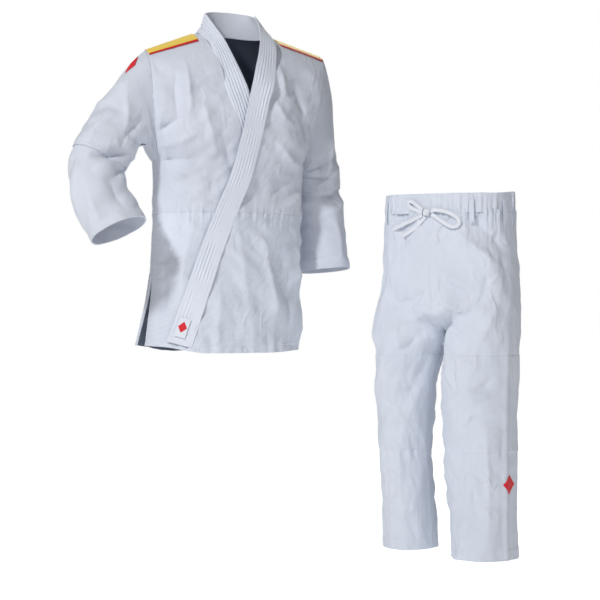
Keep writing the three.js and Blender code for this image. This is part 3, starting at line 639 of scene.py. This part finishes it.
outer_lapel = cloth("outer_lapel_band", "jacket",
                    band([*outer_stations, top_station, *beside_neck_left, neck_stations[0]]),
                    BAND_COLUMNS, np.linspace(0.0, 1, 260), 0.4, LAPEL_TWILL, outward=-1,
                    sway=lapel_sway, raised=lapel_raised, base=LAPEL_THICKNESS,
                    nodes=("lapel_left", "lapel_left_top"))
collar = cloth("collar_and_inner_lapel", "jacket",
               band([*neck_stations, *beside_neck_right, *inner_stations]),
               BAND_COLUMNS, np.linspace(0, 1, 300), LAPEL_THICKNESS - 1, LAPEL_TWILL, outward=-1,
               raised=lapel_raised, base=2.2, nodes=("lapel_neck", "lapel_right"), body="jacket_body")


# ---- Jacket: sleeves ----
# The side, how far the underside is set back, where the sleeve splits, where its cuff starts, and its shape
SLEEVES = {
    "right": (-1, 60, 236, 428 - HEM_FOLD, columns(
        (0, -250, 4, -172, 72, 60), (90, -268, 0, -202, 68, 56), (180, -312, -8, -258, 67, 55),
        (262, -345, -14, -320, 67, 55), (340, -344, -50, -394, 68, 54), (430, -318, -88, -470, 70, 54))),
    "left": (1, 178, 250, 448 - HEM_FOLD, columns(
        (0, 234, 6, -150, 50, 58), (90, 228, 26, -214, 50, 60), (180, 240, 42, -292, 54, 62),
        (262, 251, 48, -370, 57, 63), (340, 260, 46, -448, 60, 66), (450, 265, 36, -556, 62, 70))),
}
SLOPE_END = 216


def sleeve(side, reach, rows):
    """A sleeve: an oval square to the line of the arm at each way along it, joined to the armhole over the
    first 100 mm. turn is 0 on top, 0.25 in front and 0.5 below, where the tube starts further down the
    arm."""
    def surface(turn, way):
        angle = 2 * np.pi * turn
        under = (1 - np.cos(angle)) / 2
        down = way + reach * under * np.maximum(0, 1 - way / SLOPE_END)
        centre = np.stack([row(down) for row in rows[:3]], -1)
        along = np.stack([row(down + 4) - row(down - 4) for row in rows[:3]], -1)
        along /= np.linalg.norm(along, axis=-1, keepdims=True)
        top = side * np.cross(np.array([0, -1.0, 0]), along)
        top /= np.linalg.norm(top, axis=-1, keepdims=True)
        front = side * np.cross(along, top)
        oval = centre + top * (rows[3](down) * np.cos(angle))[..., None] \
            + front * (rows[4](down) * np.sin(angle))[..., None]
        height = -148 * (1 - np.cos(angle)) - 1
        edge = np.full_like(height, float(side))
        in_front = (np.sin(angle) > 0)[..., None]
        ring = np.where(in_front, body("front", edge, height), body("back", edge, height))
        ring = ring + np.stack([side * (0.15 * way), 0 * way, 0 * way], -1)
        return ring + (oval - ring) * smoothstep(way, 0, 100)[..., None]
    return surface


SLEEVE_ROUND = 400  # how far it is round a sleeve, to lay out its folds
SLEEVE_FOLDS = {
    "right": (
        ((30, 40), (80, 90), (120, 170), 14, 5), ((120, 60), (110, 130), (120, 200), 13, -6),
        ((150, 180), (110, 235), (60, 262), 15, -8), ((165, 215), (125, 270), (70, 300), 14, 7),
        ((170, 260), (130, 310), (90, 330), 13, -5), ((60, 120), (40, 190), (50, 240), 16, 5),
        ((60, 300), (55, 350), (62, 410), 16, 4), ((110, 320), (118, 370), (120, 420), 13, -4),
        ((-20, 60), (-30, 140), (-20, 220), 18, 4), ((-90, 80), (-100, 160), (-90, 230), 18, -5),
        ((-120, 240), (-80, 280), (-40, 300), 16, 5),
    ),
    "left": (
        ((60, 60), (80, 130), (96, 200), 13, 6), ((120, 80), (112, 150), (110, 230), 13, -6),
        ((40, 180), (90, 215), (130, 232), 12, 5), ((30, 240), (80, 262), (130, 260), 12, -6),
        ((20, 270), (70, 300), (120, 310), 14, 5), ((90, 320), (86, 370), (90, 440), 14, 5),
        ((40, 330), (34, 380), (40, 440), 14, -4), ((-20, 60), (-10, 140), (-16, 220), 16, 4),
        ((-80, 90), (-90, 180), (-84, 240), 18, -5), ((-120, 260), (-80, 290), (-30, 300), 16, 5),
    ),
}


def sleeve_piece(name, part, start, end, base, *nodes):
    """The cloth of a sleeve from start to end along the arm, with folds that fade in below the armhole's
    gathers."""
    side, reach, split, cuff, rows = SLEEVES[name]
    surface = sleeve(side, reach, rows)
    marks = (cuff + 2, cuff - 4, split - 4, split - 10)

    def sway(turn, way, grid):
        around = turn * SLEEVE_ROUND
        soft = 1.7 * folds(around, way, *SLEEVE_FOLDS[name])
        soft = soft + crumple(around, way, 100, 2.2, 61 + side, 1.2, 1.0)
        soft = soft + crumple(around, way, 40, 0.8, 71, 1.4, 1.2)
        gathers = puckers(around, way, 0, 22, 1.0, 14, 81) * smoothstep(way, 0, 8)
        return soft * smoothstep(way, 0, 70) + gathers + base * (1 - smoothstep(way, split, split + 22))

    def raised(turn, way, grid):
        return 0.8 * smoothstep(way, cuff - 2, cuff) + stitched(way, *marks)

    return cloth(f"{name}_{part}", "jacket", surface, np.linspace(-0.499, 0.499, 110),
                 lines_between(start, end, 3.8, marks), JACKET_CLOTH, RICE_WEAVE, outward=side, sway=sway,
                 raised=raised, nodes=[f"{name}_{node}" for node in nodes])


UNDER = 16  # how far the lower sleeve reaches up inside the upper one
sleeves = {}
for name, (side, reach, split, cuff, rows) in SLEEVES.items():
    sleeves[name] = (
        sleeve_piece(name, "upper_sleeve_cloth", 2, split, 0, "sleeve_head", "upper_sleeve"),
        sleeve_piece(name, "lower_sleeve_cloth", split - UNDER, cuff + HEM_FOLD, -JACKET_CLOTH - 0.8, "elbow",
                     "forearm", "cuff"))


# ---- Jacket: tapes, stripes and patches ----
def over_shoulder(x, way):
    """Across the shoulder ridge: way is below nought in front of it and above nought behind."""
    front = body("front", turned_of(x, np.minimum(way, 0)), np.minimum(way, 0))
    behind = body("back", turned_of(x, -np.maximum(way, 0)), -np.maximum(way, 0))
    return np.where((way < 0)[..., None], front, behind)


LAYER, TRIM = 1.2, 1.0
STRIPES = {"right": (-220, -104), "left": (106, 228)}
STRIPE_ROWS = (("stripe_front_edge", -46, -41, RED_TAPE), ("stripe", -40, -5, YELLOW_TAPE),
               ("stripe_back_edge", 5, 12, RED_TAPE))
for name, (start, end) in STRIPES.items():
    for part, low, high, material in STRIPE_ROWS:
        cloth(f"{name}_{part}_tape", "jacket", over_shoulder, np.linspace(start, end, 60),
                           np.linspace(low, high, 12), TRIM, material, base=LAYER + TRIM + 0.6,
                           nodes=(f"{name}_{part}",), body="jacket_body")


def lozenge(surface, u_middle, u_reach, v_middle, v_reach):
    """A diamond cut from a surface: its width shrinks in proportion to the distance from its middle."""
    def diamond(u, v):
        return surface(u_middle + u_reach * u * (1 - 0.93 * np.abs(v)), v_middle + v_reach * v)
    return diamond


SQUARE = np.linspace(-1, 1, 21)
side, reach, *_, rows = SLEEVES["right"]
shoulder_badge = cloth("sleeve_patch_stitching", "jacket",
                       lozenge(sleeve(side, reach, rows), 0.06, 0.04, 37, 13), SQUARE, SQUARE, TRIM,
                       RED_STITCHING, outward=-1, base=LAYER + TRIM + 0.8,
                       nodes=("sleeve_patch",), body="jacket_body")
foot_label = cloth("lapel_foot_label", "jacket", band(outer_stations), np.linspace(0.3, 0.8, 12),
                   np.linspace(0.03, 0.11, 16), TRIM, LABEL, outward=-1, base=LAPEL_THICKNESS + LAYER + TRIM,
                   nodes=("lapel_label",), body="left_front")
foot_badge = cloth("lapel_foot_stitching", "jacket",
                   lozenge(band(outer_stations), 0.55, 0.2, 0.072, 0.022), SQUARE, SQUARE, TRIM,
                   RED_STITCHING, outward=-1, base=LAPEL_THICKNESS + LAYER + 2 * TRIM,
                   body="left_front")

VENT_ROWS = (VENT_Z + 4, VENT_Z + 48, 10)
INSIDE_TAPES = (
    ("inside_waist_tape", "waist_tape", COTTON_TAPE, (-0.85, 0.85, 100), (WAIST_Z - 14, WAIST_Z + 14, 8)),
    ("inside_neck_label", "neck_label", LABEL, (-0.13, 0.13, 12), (-92, -62, 8)),
    ("right_vent_reinforcement", "right_vent_patch", COTTON_TAPE, (-0.94, -0.85, 8), VENT_ROWS),
    ("left_vent_reinforcement", "left_vent_patch", COTTON_TAPE, (0.85, 0.94, 8), VENT_ROWS),
)
inside_tapes = [cloth(name, "jacket", back_surface, np.linspace(*across), np.linspace(*up), TRIM, material,
                      outward=-1, base=-JACKET_CLOTH - LAYER, nodes=(node,), body="jacket_body")
                for name, node, material, across, up in INSIDE_TAPES]


def bend(piece):
    """Bakes a sheet's placement into its mesh."""
    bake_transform(piece)


bend(back)
bend(left_front)
bend(outer_lapel)
for name, (upper, lower) in sleeves.items():
    bend(upper)
    bend(lower)


# ---- Trousers ----
waist_half = curve((-1256, 170), (-718, 178), (-560, 166), (-430, 160), (-338, 154))
seat_depth = {
    "front": curve((-900, 92), (-718, 96), (-560, 104), (-430, 100), (-338, 96)),
    "back": curve((-900, 96), (-718, 106), (-600, 120), (-520, 118), (-430, 104), (-338, 96)),
}
leg_rows = {
    "right": columns((-1256, -106, 62, 8, 78), (-1100, -110, 60, 6, 78), (-985, -117, 60, 2, 80),
                     (-856, -116, 66, 0, 84), (-758, -106, 80, 0, 92), (-718, -99, 94, 0, 96)),
    "left": columns((-1256, 84, 80, 10, 84), (-1100, 80, 82, 8, 84), (-985, 77, 87, 4, 86),
                    (-856, 75, 91, 2, 90), (-758, 80, 91, 0, 94), (-718, 84, 89, 0, 96)),
}


def leg(side, half, way, height):
    """A leg's front or back, with way 0 at the side seam and 1 at the centre seam: a quarter oval at the
    waist that turns into a leg's half oval between the hips and the crotch."""
    sign, face = (-1 if side == "right" else 1), (-1 if half == "front" else 1)
    centre_x, half_width, centre_y, half_depth = (row(height) for row in leg_rows[side])
    quarter = way * np.pi / 2
    seat_x = sign * waist_half(height) * np.maximum(0, np.cos(quarter)) ** SEAT_ROUND
    seat_y = face * seat_depth[half](height) * np.maximum(0, np.sin(quarter)) ** SEAT_ROUND
    leg_x = centre_x + sign * half_width * np.cos(2 * quarter)
    leg_y = centre_y + face * half_depth * np.sin(2 * quarter)
    start = lerp(RISE_START_Z, FORK_START_Z, way ** 2)
    joined = smoothstep(height, start, CROTCH_Z)
    return np.stack([lerp(seat_x, leg_x, joined), lerp(seat_y, leg_y, joined), height + 0 * way], -1)


SLIT_OPEN = 0.022


def leg_surface(side):
    """All round one leg: turn 0 at the centre front, 0.5 at the side and 1 at the centre back. On the left
    the two sides of the slit part towards the waist."""
    def surface(turn, height):
        part = SLIT_OPEN * smoothstep(height, SLIT_LOW_Z, -400) * (side == "left")
        turned = turn + part * np.sign(turn - 0.5) * np.clip(1 - np.abs(turn - 0.5) / 0.3, 0, 1)
        front, behind = leg(side, "front", 1 - 2 * turned, height), leg(side, "back", 2 * turned - 1, height)
        return np.where((turned < 0.5)[..., None], front, behind)
    return surface


TROUSER_FOLDS = {
    "right": (
        ((-20, -470), (-70, -500), (-120, -560), 14, 4), ((-150, -450), (-120, -520), (-110, -600), 15, 4),
        ((-10, -600), (-60, -630), (-120, -640), 13, -6), ((-12, -640), (-60, -680), (-110, -700), 13, 6),
        ((-30, -690), (-70, -740), (-130, -760), 14, -5), ((-120, -640), (-100, -700), (-80, -780), 15, 5),
        ((-150, -800), (-110, -830), (-70, -840), 12, 5), ((-160, -850), (-120, -880), (-80, -880), 12, -5),
        ((-90, -900), (-100, -1000), (-96, -1150), 16, 4),
        ((-140, -930), (-140, -1030), (-136, -1180), 15, -4),
    ),
    "left": (
        ((52, -471), (110, -510), (165, -567), 15, 6), ((101, -447), (140, -480), (170, -536), 13, -6),
        ((8, -560), (50, -600), (110, -620), 14, -5), ((10, -620), (60, -650), (130, -650), 13, 6),
        ((8, -670), (50, -700), (100, -730), 13, -6), ((150, -630), (130, -690), (100, -747), 15, 6),
        ((20, -740), (60, -760), (110, -790), 13, 5), ((60, -830), (100, -850), (150, -850), 12, 5),
        ((50, -880), (100, -905), (156, -900), 12, -5), ((140, -800), (120, -830), (90, -845), 11, -4),
        ((120, -920), (126, -1040), (122, -1200), 12, 5), ((60, -920), (62, -1040), (56, -1180), 17, -4),
    ),
}


LEG_ROUND = 560  # how far it is round a leg, to lay out its folds and seams


def leg_sway(name, seed):
    """How a leg's cloth lies off its plain shape: folds, unevenness, gathers at the seams and a pressed
    crease."""
    def sway(turn, height, grid):
        x, z = grid[..., 0], grid[..., 2]
        front = smoothstep(-grid[..., 1], -20, 30)
        soft = 1.7 * folds(x, z, *TROUSER_FOLDS[name]) * lerp(0.35, 1, front)
        around = turn * LEG_ROUND
        soft = soft + crumple(around, z, 130, 2.4, seed, 0.4, 0.9)
        soft = soft + crumple(around, z, 46, 1.2, seed + 1, 0.7, 1.3)
        soft = soft + crumple(around, z, 20, 0.35, seed + 5, 0.5, 1.2)
        waist = puckers(around, z, BAND_LOW_Z, 17, 2.0, 34, seed + 2)
        knee = sum(puckers(around, z, KNEE_PATCH_Z[end], 24, 0.7, 16, seed + 4 - end) for end in (1, 0))
        centre = np.minimum(turn, 1 - turn)
        free = smoothstep(centre, 0, 0.05)
        crease = (4 * bump(turn, 0.43, 0.016) - 3 * bump(turn, 0.47, 0.025)) * smoothstep(-z, 620, 780)
        return (soft * (1 - 0.65 * bump(turn, 0.5, 0.13)) + waist) * free + knee + crease
    return sway


def leg_piece(name, seed):
    """The cloth of one leg, with the knee's second layer, stitch rows and seams raised from it or sunk in
    it."""
    hem = HEM_OF[name]
    hem_seam = hem + 26
    heights = lines_between(hem, BAND_LOW_Z + 6, 4.4, (*KNEE_PATCH_Z, hem_seam))
    side = 1 if name == "left" else -1
    turns = np.concatenate([np.linspace(0, 0.4995, 85), np.linspace(0.5005, 1, 85)])

    def raised(turn, height, grid):
        patch = 1.2 * smoothstep(height, KNEE_PATCH_Z[0] - 1, KNEE_PATCH_Z[0] + 1)
        patch = patch * smoothstep(-height, -KNEE_PATCH_Z[1] - 1, -KNEE_PATCH_Z[1] + 1)
        rows = stitched(height, hem_seam, KNEE_PATCH_Z[0] + 5, KNEE_PATCH_Z[1] - 5)
        side_seam = stitched(LEG_ROUND * np.abs(turn - 0.5), 0, 6, depth=0.7, width=1.6)
        centre_seam = stitched(LEG_ROUND * np.minimum(turn, 1 - turn), 0, depth=2.4, width=4)
        return patch + rows + side_seam + centre_seam + 0.7 * smoothstep(hem_seam + 2 - height, 0, 2)

    def there(turn, height):
        return ~((np.abs(turn - 0.5) < 0.0006) & (height > SLIT_LOW_Z) & (name == "left"))

    parts = ("front_panel", "back_panel", "knee", "shin", "hem_band")
    return cloth(f"{name}_leg_cloth", "trousers", leg_surface(name), turns, heights, TROUSER_CLOTH, DRILL,
                 outward=side, sway=leg_sway(name, seed), raised=raised, mask=there,
                 nodes=[f"{name}_{part}" for part in parts])


def waist_point(half):
    """Round the front or the back of the waist: turned runs -1, 0, 1 from the right side over the
    middle."""
    def surface(turned, height):
        way = 1 - np.abs(turned)
        on_right = (turned < 0)[..., None]
        return np.where(on_right, leg("right", half, way, height), leg("left", half, way, height))
    return surface


def waist_turned(x):
    """Which turn of the waist lies at x: the inverse of its squared oval's x."""
    share = np.maximum(0, (np.abs(x) - 0.8) / waist_half(BAND_LOW_Z))
    return np.sign(x) * (1 - np.arccos(share ** (1 / SEAT_ROUND)) * 2 / np.pi)


BAND_STITCHES = (BAND_LOW_Z + 3, TROUSER_TOP_Z - 4)


def waist_sway(u, v, grid):
    """The waistband's gathers, strongest by its lower seam, and its unevenness."""
    x, z = grid[..., 0], grid[..., 2]
    return puckers(x, z, BAND_LOW_Z + 10, 15, 1.5, 40, 91) + crumple(x, z, 70, 1.0, 92)


def waist_raised(u, v, grid):
    """A sunk row of stitches along each edge of the waistband."""
    return stitched(grid[..., 2], *BAND_STITCHES, depth=0.7)


LEG_SEEDS = {"right": 101, "left": 131}
legs = {name: leg_piece(name, seed) for name, seed in LEG_SEEDS.items()}
WAIST_TURNS = np.linspace(-0.9995, 0.97, 190)


def back_rising(turned, height):
    """The back of the waist stands higher in the middle: the rise fades towards the sides as a power of the
    turn."""
    point = waist_point("back")(turned, height)
    rise = BAND_BACK_RISE * (1 - np.abs(turned) ** 6)
    point[..., 2] += rise * smoothstep(height, BAND_LOW_Z, TROUSER_TOP_Z)
    return point


BAND_ROWS = lines_between(BAND_LOW_Z - 2, TROUSER_TOP_Z, 2.6, BAND_STITCHES)
for half, surface, outward in (("front", waist_point("front"), 1), ("back", back_rising, -1)):
    cloth(f"waistband_{half}_cloth", "trousers", surface, WAIST_TURNS, BAND_ROWS, 3.2, DRILL,
                       outward=outward, sway=waist_sway, raised=waist_raised, base=2.2,
                       nodes=(f"waistband_{half}",), body="trousers")

LOOPS = (("front_right", "front", -135), ("front_left", "front", 93), ("side_left", "front", 153),
         ("back_right", "back", -88), ("back_left", "back", 88))
for name, half, x in LOOPS:
    middle, spread = waist_turned(x), 7 / waist_half(BAND_LOW_Z) * 0.62
    surface = lambda u, v, middle=middle, spread=spread, half=half: waist_point(half)(middle + u * spread, v)
    bow_out = lambda u, v, grid: 3.4 * np.sqrt(np.clip(1 - ((v + 418) / 28) ** 2, 0, 1))
    cloth(f"belt_loop_{name}_cloth", "trousers", surface, np.linspace(-1, 1, 9),
                       np.linspace(-446, -390, 30), 1.6, DRILL, outward=1 if half == "front" else -1,
                       sway=bow_out, base=3.2, nodes=(f"belt_loop_{name}",), body="trousers")

BADGE_TURN, BADGE_TURN_REACH, BADGE_Z, BADGE_Z_REACH = 0.45, 0.04, -1061, 22


def badge_sway(u, v, grid):
    """The sway of the leg's cloth under the badge."""
    turn = BADGE_TURN + BADGE_TURN_REACH * u * (1 - 0.93 * np.abs(v))
    return leg_sway("left", LEG_SEEDS["left"])(turn, BADGE_Z + BADGE_Z_REACH * v, grid)


badge = cloth("leg_patch_stitching", "trousers",
              lozenge(leg_surface("left"), BADGE_TURN, BADGE_TURN_REACH, BADGE_Z, BADGE_Z_REACH),
              SQUARE, SQUARE, TRIM, RED_STITCHING, sway=badge_sway, base=TRIM + 1.2, nodes=("leg_patch",),
              body="left_lower_leg")


# ---- Drawstring ----
def on_waist(point):
    """A point off the front of the waist: [x, height, distance along its outward normal]."""
    x, height, lift = point
    surface = waist_point("front")
    u, v = np.meshgrid(waist_turned(x) + np.array([-0.01, 0, 0.01]), height + np.array([-1.0, 0, 1.0]))
    grid = surface(u, v)
    return grid[1, 1] + normals_of(grid)[1, 1] * lift


TAPE_WIDTH, TAPE_THICKNESS = 9, 1.8
BOW = {
    "drawstring_loop_left": ([-26, -415, 6], [-38, -406, 7], [-50, -397, 8], [-59, -394, 8], [-64, -400, 8],
                             [-58, -408, 7], [-44, -415, 6], [-27, -421, 6]),
    "drawstring_loop_right": ([-3, -417, 8], [12, -416, 9], [30, -419, 9], [48, -426, 9], [61, -435, 9],
                              [66, -446, 8], [58, -455, 8], [44, -454, 7], [28, -445, 6], [12, -434, 6],
                              [-3, -426, 6]),
    "drawstring_end_left": ([-26, -428, 7], [-44, -435, 6], [-64, -443, 6], [-86, -451, 6], [-106, -458, 6]),
    "drawstring_end_right": ([-20, -431, 4], [-32, -444, 4], [-46, -457, 4], [-62, -467, 4], [-80, -475, 4]),
}


def cap(ring):
    """Quads that close an even ring of points, each between two edges that face each other."""
    n = len(ring)
    return [[ring[k], ring[k + 1], ring[n - 2 - k], ring[n - 1 - k]] for k in range(n // 2 - 1)]


def closed_tube(rings, uv, name, material):
    """A closed skin over rings of points, one after the other along a tape or up a lump."""
    index = np.arange(rings[..., 0].size).reshape(rings.shape[:2])
    beside = np.roll(index, -1, 1)
    quads = np.stack([index[:-1], beside[:-1], beside[1:], index[1:]], -1).reshape(-1, 4)
    faces = np.concatenate([quads, cap(index[0]), cap(index[-1])])
    return mesh_piece(name, placed(rings.reshape(-1, 3), "trousers"), faces, uv.reshape(-1, 2) * MM, material)


def tape_piece(node, route):
    """A flat tape along a route: a section that is a squared oval, its width square to the waist's outward
    way."""
    t = np.linspace(0, 1, 80)
    line = path_through([on_waist(point) for point in route])(t)
    along = np.gradient(line, axis=0)
    along /= np.linalg.norm(along, axis=1, keepdims=True)
    out = np.stack([line[:, 0] * 0.4 / 100, -np.ones(len(t)), 0 * t], -1)
    across = np.cross(along, out)
    across /= np.linalg.norm(across, axis=1, keepdims=True)
    out = np.cross(across, along)
    angle = np.linspace(0, 2 * np.pi, 20, endpoint=False)
    wide, high = (np.sign(wave) * np.abs(wave) ** 0.4 for wave in (np.cos(angle), np.sin(angle)))
    ring = across[:, None] * (TAPE_WIDTH / 2 * wide)[None, :, None] \
        + out[:, None] * (TAPE_THICKNESS / 2 * high)[None, :, None]
    lengths = np.concatenate([[0], np.cumsum(np.linalg.norm(np.diff(line, axis=0), axis=1))])
    uv = np.stack([np.tile(TAPE_WIDTH / 2 * wide, (len(t), 1)), np.tile(lengths[:, None], len(angle))], -1)
    piece = stand_in(closed_tube(line[:, None] + ring, uv, f"{node}_tape", COTTON_TAPE), (node,), "trousers")


def ball(name, node, centre, half_sizes, material, twist=0.0):
    """A rounded lump: an ellipsoid whose radius swells along a spiral, as a knot's turns do."""
    u, v = np.meshgrid(np.linspace(0, 2 * np.pi, 48, endpoint=False), np.linspace(-1.5, 1.5, 24))
    radius = 1 + twist * np.sin(3 * u + 5 * v)
    sphere = np.stack([np.cos(v) * np.cos(u), np.cos(v) * np.sin(u), np.sin(v)], -1)
    grid = sphere * radius[..., None] * half_sizes
    uv = np.stack([u * half_sizes[0], v * half_sizes[2]], -1)
    return stand_in(closed_tube(grid + centre, uv, name, material), (node,), "trousers")


for node, route in BOW.items():
    tape_piece(node, route)
ball("drawstring_knot_tape", "drawstring_knot", on_waist([-15, -421, 8]), (9, 5, 8), COTTON_TAPE, 0.12)
gusset = ball("crotch_gusset_cloth", "crotch_gusset", (0, 0, CROTCH_Z - 14), (3.4, 46, 6), DRILL)
KNEE_BEND = {"right": ((-114, 0, -800), (-114, 0, -912)), "left": ((85, 2, -800), (85, 2, -912))}
for name, ends in KNEE_BEND.items():
    bend(legs[name])


# ---- Studio ----
STUDIO_MIDDLE = (0.1, 0, -0.6)


def area_light(name, at, size, power):
    """A round soft light that faces the middle of the studio."""
    data = bpy.data.lights.new(name, "AREA")
    data.shape, data.size, data.energy = "DISK", size, power
    light = bpy.data.objects.new(name, data)
    light.location = at
    light.rotation_euler = (Vector(STUDIO_MIDDLE) - Vector(at)).to_track_quat("-Z", "Y").to_euler()
    bpy.context.scene.collection.objects.link(light)


def glow(tree, strength, unseen, seen):
    """Gives a strength one value where the camera looks straight at it and another where light only bounces
    off."""
    ray = add(tree, "LightPath").outputs["Is Camera Ray"]
    share = add(tree, "MapRange", {"Value": ray, "To Min": unseen, "To Max": seen})
    tree.links.new(share.outputs[0], strength)


area_light("key", (-2.1, -3.1, 2.1), 0.5, 112)
area_light("fill", (2.2, -3.9, 0.2), 2.0, 20)
area_light("rim", (0.4, 3.4, 1.6), 2.2, 44)

world = bpy.data.worlds.new("studio")
bpy.context.scene.world = world
world.use_nodes = True
sky = world.node_tree.nodes["Background"].inputs
sky["Color"].default_value = (1, 1, 1, 1)
glow(world.node_tree, sky["Strength"], 0.17, 1.0)

FLOOR_Z, FLOOR_RADIUS = -1.264, 7
disc = [(FLOOR_RADIUS * math.cos(a), FLOOR_RADIUS * math.sin(a), FLOOR_Z)
        for a in np.linspace(0, 2 * np.pi, 64, endpoint=False)]
floor_mesh = bpy.data.meshes.new("floor")
floor_mesh.from_pydata(disc, [], [list(range(64))])
floor_mesh.materials.append(FLOOR)
paper = FLOOR.node_tree.nodes["Principled BSDF"].inputs
paper["Emission Color"].default_value = (1, 1, 1, 1)
glow(FLOOR.node_tree, paper["Emission Strength"], 0.3, 0.86)
floor = bpy.data.objects.new("floor", floor_mesh)
bpy.context.scene.collection.objects.link(floor)

camera_data = bpy.data.cameras.new("camera")
camera_data.lens = 112.5
camera = bpy.data.objects.new("camera", camera_data)
camera.location = (0.1536, -4.5, -0.627)
camera.rotation_euler = (math.pi / 2, 0, 0)
bpy.context.scene.collection.objects.link(camera)
bpy.context.scene.camera = camera
bpy.context.scene.view_settings.view_transform = "Standard"

bpy.context.view_layer.update()
